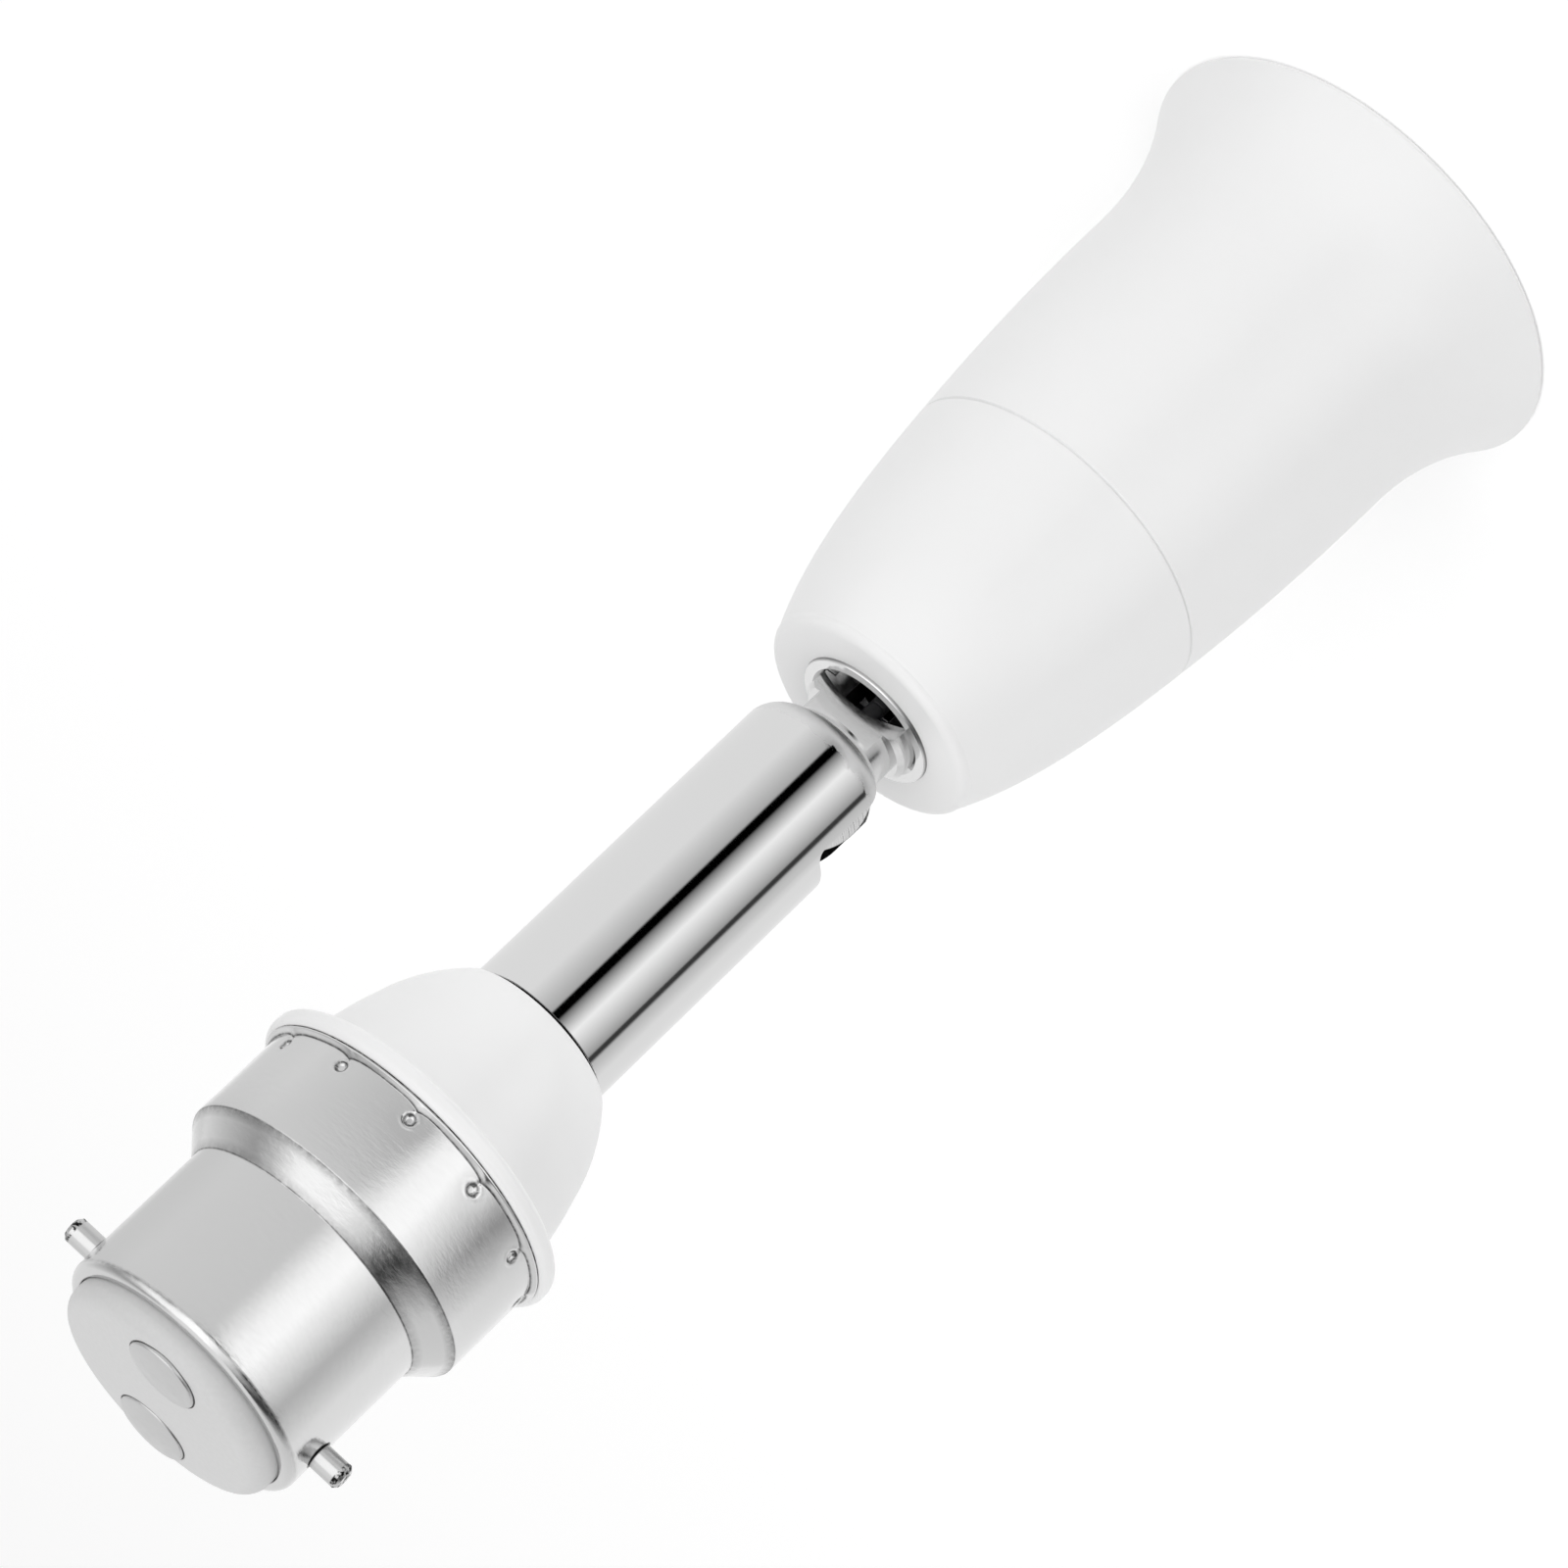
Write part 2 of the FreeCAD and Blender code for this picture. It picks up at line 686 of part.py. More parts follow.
def make_insert_screws():
    """Screws from inside the socket, through roof and insulator, into the two bosses of the cap."""
    screws = []
    low = disc_low - shell_sheet
    half = driver_slot / 2
    reach = drive_length / 2
    for angle in insert_screw_angles:
        spot = at_angle(boss_pitch_radius, angle)
        head = turned(
            (0, low - screw_head_height),
            (screw_head_radius - screw_head_edge, low - screw_head_height),
            (screw_head_radius, low - screw_head_height + screw_head_edge),
            (screw_head_radius, low),
            (0, low),
        )
        head.translate(FreeCAD.Vector(spot.x, spot.y, 0))
        shank = cylinder(insert_screw_radius, low, low + insert_screw_length, spot.x, spot.y)
        drive_high = low - screw_head_height + drive_depth
        drive = box(-half, half, -reach, reach, drive_high - 1, drive_high)
        cross = drive.fuse(spun(drive, 90))
        cross.translate(FreeCAD.Vector(spot.x, spot.y, 0))
        screws.append(head.fuse(shank).removeSplitter().cut(cross))
    return Part.makeCompound(screws)


# The swivel stem is one turned piece: a ball, a neck, a shoulder and a shank, bored through for the
# wires. Two flats are milled along it, the bore breaks out through them at the bush, and the ball is
# slotted so that the wires can leave it sideways when it is tilted.

def make_stem():
    fillet = neck_fillet
    reach = ball_radius + fillet
    meet = math.sqrt(reach * reach - (neck_radius + fillet) ** 2)
    touch_turn = math.degrees(math.atan2(-meet, neck_radius + fillet))
    touch = on_arc((0, ball_height), ball_radius, touch_turn)
    fillet_centre = (neck_radius + fillet, ball_height - meet)
    body = turned(
        (0, shank_end),
        (neck_radius - stem_chamfer, shank_end),
        (neck_radius, shank_end + stem_chamfer),
        (neck_radius, shoulder_end),
        (stem_shoulder_radius, shoulder_end),
        (stem_shoulder_radius, stem_shoulder_height - stem_chamfer),
        (stem_shoulder_radius - stem_chamfer, stem_shoulder_height),
        (neck_radius, stem_shoulder_height),
        (neck_radius, ball_height - meet),
        (on_arc(fillet_centre, fillet, 180 + touch_turn / 2), touch),
        (on_arc((0, ball_height), ball_radius, (touch_turn + 90) / 2), (0, ball_height + ball_radius)),
    )
    bore = cylinder(stem_bore_radius, shank_end - 1, ball_height + ball_radius + 1)
    reach = ball_radius + 1
    half = stem_bore_radius
    ball_middle = FreeCAD.Vector(0, 0, ball_height)
    slot_end = Part.makeCylinder(half, reach, ball_middle, FreeCAD.Vector(1, 0, 0))
    slot = box(0, reach, -half, half, ball_height, ball_height + reach)
    body = body.cut(bore).cut(slot.fuse(slot_end))
    flat_high = ball_height - meet - stem_flat_end
    window_middle = bush_face + mouth_window_rise - mouth_window_radius
    for angle in (stem_flat_angle, stem_flat_angle + 180):
        flat = box(stem_flat_distance, reach, -reach, reach, shank_end - 1, flat_high)
        window = Part.makeCylinder(
            mouth_window_radius,
            reach,
            FreeCAD.Vector(mouth_window_depth, 0, window_middle),
            FreeCAD.Vector(1, 0, 0),
        )
        window_room = box(0, reach, -reach, reach, shoulder_end - mouth_window_depth, ball_height)
        body = body.cut(spun(flat.fuse(window.common(window_room)), angle))
    return body


def hexagon(across_flats, low, high):
    """Hexagonal prism whose corners are turned off in a cone at both ends."""
    corner = across_flats / 2 / math.cos(math.radians(30))
    points = [at_angle(corner, 60 * k, low) for k in range(7)]
    prism = Part.Face(Part.makePolygon(points)).extrude(FreeCAD.Vector(0, 0, high - low))
    face = across_flats / 2 - nut_face_chamfer
    turned_off = turned(
        (0, low),
        (face, low),
        (corner, low + nut_corner_drop),
        (corner, high - nut_corner_drop),
        (face, high),
        (0, high),
    )
    return prism.common(turned_off)


def make_stem_washer():
    return ring(washer_radius, neck_radius + seat_gap, spring_washer_top, stem_washer_top)


def make_stem_spring_washer():
    """Split ring whose ends stand apart."""
    low = stem_nut_top
    high = spring_washer_top
    body = ring(washer_radius - spring_washer_inset, neck_radius + seat_gap, low, high)
    half = spring_washer_split / 2
    cut = box(0, washer_radius, -half, half, low - 1, high + 1)
    cut.rotate(FreeCAD.Vector(0, 0, high), FreeCAD.Vector(1, 0, 0), spring_washer_lean)
    return body.cut(cut)


def make_stem_nut():
    low = stem_nut_top - stem_nut_height
    bore = cylinder(neck_radius + seat_gap, low - 1, stem_nut_top + 1)
    return hexagon(stem_nut_across_flats, low, stem_nut_top).cut(bore)


# The extension tube is drawn thin-walled. Its lower end is rolled in to hold the ball, and a slot on
# one side lets the neck swing out. A groove inside holds the stop ring of the friction spring, and a
# shallow one outside runs round just below the collar.

def make_tube():
    roll_height = tube_low_end + tube_roll_drop
    centre = (tube_roll_centre, roll_height)
    turn = math.degrees(tube_roll_turn)
    inner_roll = tube_roll_radius - tube_wall
    entry_high = collar_low_end - entry_groove_drop
    entry_floor = (tube_radius - entry_groove_depth, entry_high - entry_groove_width / 2)
    groove = tube_bore_radius + stop_ring_depth + seat_gap
    stop_low = stop_ring_low - seat_gap
    stop_high = stop_ring_low + stop_ring_thickness + seat_gap
    body = turned(
        on_arc(centre, tube_roll_radius, -turn),
        (on_arc(centre, tube_roll_radius, -turn / 2), (tube_radius, roll_height)),
        (tube_radius, entry_high - entry_groove_width),
        (entry_floor, (tube_radius, entry_high)),
        (tube_radius, tube_high_end - tube_end_chamfer),
        (tube_radius - tube_end_chamfer, tube_high_end),
        (tube_bore_radius, tube_high_end),
        (tube_bore_radius, stop_high),
        (groove, stop_high),
        (groove, stop_low),
        (tube_bore_radius, stop_low),
        (tube_bore_radius, roll_height),
        (on_arc(centre, inner_roll, -turn / 2), on_arc(centre, inner_roll, -turn)),
    )
    half = slot_width / 2
    corner = slot_corner_radius
    slot = box(0, tube_radius + 1, -half, half, tube_low_end - 1, slot_top_height)
    top_edges = []
    for e in slot.Edges:
        b = e.BoundBox
        if b.XLength > tube_radius and b.ZMin > tube_low_end:
            top_edges.append(e)
    slot = slot.makeFillet(corner, top_edges)
    return body.cut(slot)


def make_ball_seat():
    """Ring that presses on the ball, hollowed to the ball's own curve below."""
    bowl = Part.makeSphere(ball_radius + running_gap, FreeCAD.Vector(0, 0, ball_height))
    return ring(tube_bore_radius - running_gap, seat_bore_radius, seat_low, seat_top).cut(bowl)


def make_friction_spring():
    """Coil between the seat and the stop ring, lofted through cuts of the wire along its helix."""
    low = seat_top + spring_wire_radius + running_gap
    rise = spring_length - 2 * spring_wire_radius - 2 * running_gap
    steps = spring_turns * spring_steps_per_turn
    cuts = []
    for step in range(steps + 1):
        angle = 360.0 * step / spring_steps_per_turn
        middle = (spring_coil_radius, low + rise * step / steps)
        corners = []
        for side in range(spring_sides + 1):
            place = on_arc(middle, spring_wire_radius, 360.0 * side / spring_sides)
            corners.append(at_angle(place[0], angle, place[1]))
        cuts.append(Part.makePolygon(corners))
    return Part.makeLoft(cuts, True, True)


def make_stop_ring():
    outer = tube_bore_radius + stop_ring_depth
    high = stop_ring_low + stop_ring_thickness
    body = ring(outer, outer - stop_ring_width, stop_ring_low, high)
    half = stop_ring_split / 2
    return body.cut(box(0, outer + 1, -half, half, stop_ring_low - 1, high + 1))


# The collar is a moulded cap of the base. The tube passes through its floor and is held by a washer
# and a nut inside. Its spigot fits in the metal cap, whose flared lip rests on a round-edged flange.

def make_collar():
    spigot = cap_skirt_radius - cap_sheet - part_gap
    spigot_bore = spigot - collar_spigot_wall
    groove = spigot - dent_depth
    groove_low = dent_height - crimp_groove_height / 2
    groove_high = dent_height + crimp_groove_height / 2
    edge = flange_edge_radius
    low_edge = (flange_radius - edge, flange_low + edge)
    high_edge = (flange_radius - edge, flange_high - edge)
    spigot_end = flange_high + collar_spigot_length
    hole = tube_radius + running_gap
    start = (collar_hole_edge_radius, collar_low_end)
    shoulder = (collar_shoulder_radius, collar_shoulder_height)
    top = (collar_top_radius, collar_top_height)
    return turned(
        (hole, collar_low_end),
        start,
        (beside(start, shoulder, collar_shoulder_bulge), shoulder),
        (beside(shoulder, top, collar_top_hollow), top),
        (collar_top_radius + flange_root, flange_low),
        (flange_radius - edge, flange_low),
        (on_arc(low_edge, edge, -45), (flange_radius, low_edge[1])),
        (flange_radius, high_edge[1]),
        (on_arc(high_edge, edge, 45), (high_edge[0], flange_high)),
        (spigot, flange_high),
        (spigot, groove_low),
        (groove, groove_low + dent_depth),
        (groove, groove_high - dent_depth),
        (spigot, groove_high),
        (spigot, spigot_end - collar_chamfer),
        (spigot - collar_chamfer, spigot_end),
        (spigot_bore, spigot_end),
        (spigot_bore, flange_high),
        (collar_cavity_radius, flange_high - collar_spigot_wall),
        (collar_cavity_radius, collar_floor_height),
        (hole, collar_floor_height),
    )


def make_tube_washer():
    return ring(tube_washer_radius, tube_radius + running_gap, collar_floor_height, tube_nut_low)


def make_tube_nut():
    high = tube_nut_low + tube_nut_height
    bore = cylinder(tube_radius + seat_gap, tube_nut_low - 1, high + 1)
    return hexagon(tube_nut_across_flats, tube_nut_low, high).cut(bore)


# The metal cap is drawn from sheet: a wide skirt, a sloped step and the bayonet barrel, with its
# upper edge folded in over the insulator and its lower edge flared on to the collar's flange.

def dent_cone(grow, outside):
    """Punch mark in the skirt, narrower inwards, made larger all round by grow."""
    inside = cap_skirt_radius - dent_depth - grow
    narrow = dent_radius / 2 + grow
    wide = narrow + (dent_radius / 2) * (outside - inside) / dent_depth
    start = FreeCAD.Vector(inside, 0, dent_height)
    return Part.makeCone(narrow, wide, outside - inside, start, FreeCAD.Vector(1, 0, 0))


def make_cap_shell():
    t = cap_sheet
    edge = cap_edge_radius
    bend = lip_bend_radius
    lip_high = flange_high + t
    bend_centre = (cap_skirt_radius + bend, lip_high + bend)
    corner = (cap_radius - edge, cap_end_height - edge)
    inset = cap_skirt_radius - cap_radius
    rise = step_top_height - skirt_top_height
    round_radius = (inset ** 2 + rise ** 2) / (4 * inset)
    turn = math.degrees(math.asin(rise / 2 / round_radius))
    upper = (cap_radius + round_radius, step_top_height)
    lower = (cap_skirt_radius - round_radius, skirt_top_height)
    body = turned(
        (fold_radius, cap_end_height),
        (corner[0], cap_end_height),
        (on_arc(corner, edge, 45), (cap_radius, corner[1])),
        (cap_radius, step_top_height),
        (on_arc(upper, round_radius, 180 + turn / 2), on_arc(upper, round_radius, 180 + turn)),
        (on_arc(lower, round_radius, turn / 2), (cap_skirt_radius, skirt_top_height)),
        (cap_skirt_radius, lip_high + bend),
        (on_arc(bend_centre, bend, 225), (cap_skirt_radius + bend, lip_high)),
        (lip_radius, lip_high),
        (lip_radius, flange_high),
        (cap_skirt_radius + bend, flange_high),
        (on_arc(bend_centre, bend + t, 225), (cap_skirt_radius - t, lip_high + bend)),
        (cap_skirt_radius - t, skirt_top_height),
        (on_arc(lower, round_radius - t, turn / 2), on_arc(lower, round_radius - t, turn)),
        (on_arc(upper, round_radius + t, 180 + turn / 2), (cap_radius - t, step_top_height)),
        (cap_radius - t, corner[1]),
        (on_arc(corner, edge - t, 45), (corner[0], cap_end_height - t)),
        (fold_radius, cap_end_height - t),
    )
    for dent in range(dent_count):
        angle = dent_angle + 360.0 * dent / dent_count
        body = body.fuse(spun(dent_cone(dent_sheet, cap_skirt_radius - t / 2), angle))
        body = body.cut(spun(dent_cone(0.0, cap_skirt_radius + t), angle))
    for angle in (pin_angle, pin_angle + 180):
        hole = radial_cylinder(pin_radius, cap_radius - 2, cap_radius + 2, pin_height)
        body = body.cut(spun(hole, angle))
    return body


def radial_cylinder(radius, near, far, height):
    start = FreeCAD.Vector(near, 0, height)
    return Part.makeCylinder(radius, far - near, start, FreeCAD.Vector(1, 0, 0))


def make_cap_pins():
    """Two pins set through the barrel, headed inside and chamfered outside."""
    pins = []
    inside = cap_radius - cap_sheet - pin_head_gap
    for angle in (pin_angle, pin_angle + 180):
        shank = radial_cylinder(pin_radius, inside, pin_tip_radius - pin_chamfer, pin_height)
        tip = Part.makeCone(
            pin_radius,
            pin_radius - pin_chamfer,
            pin_chamfer,
            FreeCAD.Vector(pin_tip_radius - pin_chamfer, 0, pin_height),
            FreeCAD.Vector(1, 0, 0),
        )
        head = radial_cylinder(pin_radius + pin_head_step, inside - pin_head_height, inside, pin_height)
        pins.append(spun(shank.fuse(tip).fuse(head).removeSplitter(), angle))
    return Part.makeCompound(pins)


def make_cap_insulator():
    """Moulded plug: a skirt inside the barrel, a shoulder under the fold and a low domed face."""
    neck = fold_radius - running_gap
    rim = cap_radius - cap_sheet - cap_plug_rim
    shoulder_high = cap_end_height - cap_sheet
    shoulder_low = cap_plug_top - cap_plug_roof
    edge = cap_plug_edge_radius
    face_edge = (neck - edge, cap_plug_top - cap_plug_face_rise)
    plug = turned(
        (0, shoulder_low),
        (cap_plug_bore_radius, shoulder_low),
        (cap_plug_bore_radius, cap_plug_bottom),
        (cap_plug_skirt_radius, cap_plug_bottom),
        (cap_plug_skirt_radius, shoulder_low + cap_plug_rim_step),
        (rim, shoulder_low + cap_plug_rim_step),
        (rim, shoulder_high),
        (neck, shoulder_high),
        (neck, cap_plug_top - edge),
        (beside((neck, cap_plug_top - edge), face_edge, cap_plug_corner_bulge), face_edge),
        dome(face_edge, cap_plug_top),
    )
    for side in (1, -1):
        spot = at_angle(side * contact_spacing / 2, contact_angle)
        recess_radius = contact_radius + contact_recess_gap
        recess = cylinder(recess_radius, contact_low, cap_plug_top + 1, spot.x, spot.y)
        tail = cylinder(contact_tail_radius + seat_gap, shoulder_low - 1, cap_plug_top, spot.x, spot.y)
        plug = plug.cut(recess).cut(tail)
    return plug


def make_contact_plates():
    """Two round contacts with slightly domed faces, each on a tail that runs through the plug."""
    plates = []
    for side in (1, -1):
        spot = at_angle(side * contact_spacing / 2, contact_angle)
        rim = (contact_radius - contact_edge, contact_low + contact_sheet)
        plate = turned(
            (0, contact_low - contact_tail_length),
            (contact_tail_radius, contact_low - contact_tail_length),
            (contact_tail_radius, contact_low),
            (contact_radius, contact_low),
            (contact_radius, rim[1] - contact_edge),
            (on_arc((rim[0], rim[1] - contact_edge), contact_edge, 45), rim),
            dome(rim, rim[1] + contact_rise),
        )
        plate.translate(FreeCAD.Vector(spot.x, spot.y, 0))
        plates.append(plate)
    return Part.makeCompound(plates)


# The two wires are soldered under the contacts, run down the middle of the tube and the stem side by
# side, and end in the terminals of the socket.

def wire_along(points):
    """Round wire along straight runs joined by arcs as large as the runs allow. Prints the arcs."""
    edges = []
    radii = []
    here = points[0]
    for before, corner, after in zip(points, points[1:], points[2:]):
        back = before - corner
        on = after - corner
        shorter = min(back.Length, on.Length)
        half_turn = (math.pi - back.getAngle(on)) / 2
        trim = 0.45 * shorter
        radius = trim / math.tan(half_turn)
        back.normalize()
        on.normalize()
        start = corner + back * trim
        end = corner + on * trim
        middle = back + on
        middle.normalize()
        centre = corner + middle * (radius / math.cos(half_turn))
        mid = centre - middle * radius
        edges.append(Part.LineSegment(here, start).toShape())
        edges.append(Part.Arc(start, mid, end).toShape())
        radii.append(round(radius, 1))
        here = end
    edges.append(Part.LineSegment(here, points[-1]).toShape())
    path = Part.Wire(edges)
    circle = Part.Wire(Part.makeCircle(wire_radius, points[0], points[1] - points[0]))
    wire = path.makePipeShell([circle], True, False)
    print("wire", round(path.Length, 1), "mm, arcs", radii)
    return wire


def make_wire(side):
    """Side is 1 for the live wire and -1 for the neutral wire."""
    top = at_angle(side * contact_spacing / 2, contact_angle, contact_low - contact_tail_length)
    step = side * wire_side_step
    return wire_along([
        top,
        FreeCAD.Vector(top.x, top.y, top.z - 4.5),
        FreeCAD.Vector(top.x * 0.3, (top.y + step) * 0.55, top.z - 10.5),
        FreeCAD.Vector(0, step, top.z - 17.5),
        FreeCAD.Vector(0, step, shank_end + 6),
        FreeCAD.Vector(side * 0.3, step, shank_end - 1.5),
        FreeCAD.Vector(side * 5.2, step * 0.4, disc_high + terminal_height + 4.2),
        FreeCAD.Vector(side * terminal_pitch_radius, 0, disc_high + terminal_height + 1.2),
        FreeCAD.Vector(side * terminal_pitch_radius, 0, disc_high + 1.4),
    ])


os.makedirs("parts", exist_ok=True)
save("holder_bell", make_bell())
save("holder_cap", make_holder_cap())
save("entry_bush", make_bush())
save("screw_shell", make_screw_shell())
save("socket_insulator", make_socket_insulator())
save("shell_rivets", make_shell_rivets())
save("tongue_rivet", make_tongue_rivet())
save("centre_contact", make_centre_contact())
live_foot_end = tongue_rivet_place - rivet_head_radius
neutral_foot_end = shell_rivet_pitch_radius + rivet_head_radius
save("live_terminal", make_terminal(live_foot_end, tongue_rivet_place, 0))
save("neutral_terminal", make_terminal(neutral_foot_end, shell_rivet_pitch_radius, neutral_angle))
save("terminal_screws", Part.makeCompound([make_terminal_screw(0), make_terminal_screw(neutral_angle)]))
save("insert_screws", make_insert_screws())
save("swivel_stem", make_stem())
save("stem_washer", make_stem_washer())
save("stem_spring_washer", make_stem_spring_washer())
save("stem_nut", make_stem_nut())
save("extension_tube", make_tube())
save("ball_seat", make_ball_seat())
save("friction_spring", make_friction_spring())
save("spring_stop_ring", make_stop_ring())
save("base_collar", make_collar())
save("tube_washer", make_tube_washer())
save("tube_nut", make_tube_nut())
save("cap_shell", make_cap_shell())
save("cap_pins", make_cap_pins())
save("cap_insulator", make_cap_insulator())
save("contact_plates", make_contact_plates())
save("live_wire", make_wire(1))
save("neutral_wire", make_wire(-1))
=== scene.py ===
import bpy
import math
import numpy as np
from mathutils import Matrix


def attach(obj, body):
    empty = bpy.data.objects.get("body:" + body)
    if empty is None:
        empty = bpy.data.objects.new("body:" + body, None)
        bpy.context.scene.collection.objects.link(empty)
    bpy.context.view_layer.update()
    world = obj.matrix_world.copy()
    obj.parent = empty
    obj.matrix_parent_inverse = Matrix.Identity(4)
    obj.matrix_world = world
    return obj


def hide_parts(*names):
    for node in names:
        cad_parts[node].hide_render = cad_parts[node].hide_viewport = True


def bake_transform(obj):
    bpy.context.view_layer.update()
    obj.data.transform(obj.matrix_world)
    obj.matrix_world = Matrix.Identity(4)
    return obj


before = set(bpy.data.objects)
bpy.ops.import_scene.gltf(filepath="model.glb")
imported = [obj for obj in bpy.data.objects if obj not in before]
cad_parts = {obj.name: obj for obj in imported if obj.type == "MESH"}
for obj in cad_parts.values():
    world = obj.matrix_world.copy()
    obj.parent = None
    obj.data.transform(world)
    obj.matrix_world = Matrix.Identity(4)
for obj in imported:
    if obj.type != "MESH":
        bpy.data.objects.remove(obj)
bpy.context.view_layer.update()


# ---- The camera looks down on the upright adapter from the bayonet end, and is rolled so that the
# axis runs from the lower left to the upper right, with the bell's mouth away from the lens.
lens_right = (0.69264, 0.28565, -0.66231)
lens_up = (-0.72128, 0.27431, -0.63601)
lens_back = (0.0, 0.91824, 0.39603)
camera_place = (-0.00079, 0.47157, 0.27039)
camera_data = bpy.data.cameras.new("view_camera")
camera_data.sensor_width = 36.0
camera_data.lens = 156.19
camera_data.clip_start = 0.01
camera = bpy.data.objects.new("view_camera", camera_data)
turn = Matrix((lens_right, lens_up, lens_back)).transposed().to_4x4()
camera.matrix_world = Matrix.Translation(camera_place) @ turn
bpy.context.scene.collection.objects.link(camera)
bpy.context.scene.camera = camera
bpy.context.scene.view_settings.view_transform = "Standard"


# ---- The studio: a pale matt floor and soft light from all round. Dark flags and bright cards
# stand round the object, and the polished tube mirrors them as bands.

def linear(hex_colour):
    """Linear colour of an sRGB hex value: each channel goes through the sRGB curve."""
    channels = [int(hex_colour[i:i + 2], 16) / 255 for i in (0, 2, 4)]
    return [c / 12.92 if c <= 0.04045 else ((c + 0.055) / 1.055) ** 2.4 for c in channels] + [1.0]


def add_node(tree, kind, settings=None, links=None):
    """Adds one shader node, sets its sockets and properties, and links its inputs."""
    node = tree.nodes.new(kind)
    for key, value in (settings or {}).items():
        if isinstance(key, int) or key in node.inputs:
            node.inputs[key].default_value = value
        else:
            setattr(node, key, value)
    for key, source in (links or {}).items():
        tree.links.new(source, node.inputs[key])
    return node


def new_material(name):
    """Empty node material with its output, and the shader node that feeds it."""
    material = bpy.data.materials.new(name)
    material.use_nodes = True
    material.node_tree.nodes.clear()
    tree = material.node_tree
    shader = add_node(tree, "ShaderNodeBsdfPrincipled")
    add_node(tree, "ShaderNodeOutputMaterial", links={"Surface": shader.outputs[0]})
    return material, tree, shader


def finish_with(node_names, material):
    """Gives CAD nodes their finish."""
    for node_name in node_names:
        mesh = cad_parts[node_name].data
        mesh.materials.clear()
        mesh.materials.append(material)


floor_half = 2.5
floor_mesh = bpy.data.meshes.new("studio_floor")
corners = [(-floor_half, -floor_half, 0), (floor_half, -floor_half, 0),
           (floor_half, floor_half, 0), (-floor_half, floor_half, 0)]
floor_mesh.from_pydata(corners, [], [(0, 1, 2, 3)])
floor = bpy.data.objects.new("studio_floor", floor_mesh)
bpy.context.scene.collection.objects.link(floor)
floor_paint, tree, shader = new_material("matt_paper_floor")
shader.inputs["Base Color"].default_value = linear("FDFDFD")
shader.inputs["Roughness"].default_value = 0.9
shader.inputs["Specular IOR Level"].default_value = 0.1
# the sheet is lit from below as well, as on a light table
shader.inputs["Emission Color"].default_value = linear("FFFFFF")
shader.inputs["Emission Strength"].default_value = 0.12
floor_mesh.materials.append(floor_paint)
floor.visible_glossy = False

world = bpy.data.worlds.new("soft_studio")
bpy.context.scene.world = world
world.use_nodes = True
tree = world.node_tree
tree.nodes.clear()
direction = add_node(tree, "ShaderNodeTexCoord").outputs["Generated"]
parts = add_node(tree, "ShaderNodeSeparateXYZ", links={0: direction})
azimuth = add_node(tree, "ShaderNodeMath", {"operation": "ARCTAN2"},
                   {0: parts.outputs["Y"], 1: parts.outputs["X"]}).outputs[0]


# Brightness of the cards and flags by azimuth in degrees. What the upright walls
# mirror from below the horizon is pale paper with two black flags, at 15 and 92 degrees, and a
# bright card between them. What the sloped faces mirror from above it is one wide flag at 28
# degrees, a bright card from 100 to 160 and a grey one at -165.
low_levels = [(-180, 0.9), (-20, 0.9), (8, 0.6), (12, 0.05), (18, 0.05), (20, 0.4), (60, 1.1),
              (84, 0.2), (87, 0.0), (97, 0.0), (100, 0.5), (140, 0.9), (180, 0.9)]
high_levels = [(-180, 0.7), (-165, 0.4), (-120, 0.9), (-20, 0.8), (20, 0.05), (35, 0.05),
               (100, 1.5), (160, 1.3), (180, 0.7)]


# a colour ramp is made for colours up to 1, so levels are stored halved and the light is doubled
ramp_scale = 2.0


def levels_round(tree, azimuth, levels):
    """Brightness as a piecewise linear curve of the azimuth, divided by ramp_scale."""
    share = add_node(tree, "ShaderNodeMapRange", {"From Min": -math.pi, "From Max": math.pi},
                     {"Value": azimuth}).outputs[0]
    ramp = add_node(tree, "ShaderNodeValToRGB", {}, {"Fac": share})
    stops = ramp.color_ramp.elements
    while len(stops) < len(levels):
        stops.new(0.5)
    for stop, (degrees, level) in zip(stops, levels):
        stop.position = (degrees + 180) / 360
        stop.color = (level / ramp_scale,) * 3 + (1,)
    return ramp.outputs[0]


above = add_node(tree, "ShaderNodeMapRange",
                 {"interpolation_type": "SMOOTHSTEP", "From Min": -0.12, "From Max": 0.16},
                 {"Value": parts.outputs["Z"]}).outputs[0]
zenith = add_node(tree, "ShaderNodeMapRange",
                  {"interpolation_type": "SMOOTHSTEP", "From Min": 0.86, "From Max": 0.96},
                  {"Value": parts.outputs["Z"]}).outputs[0]
level = add_node(tree, "ShaderNodeMix", {"data_type": "RGBA"},
                 {0: above, 6: levels_round(tree, azimuth, low_levels),
                  7: levels_round(tree, azimuth, high_levels)}).outputs[2]
zenith_tone = (1 / ramp_scale,) * 3 + (1,)
level = add_node(tree, "ShaderNodeMix", {"data_type": "RGBA", 7: zenith_tone},
                 {0: zenith, 6: level}).outputs[2]
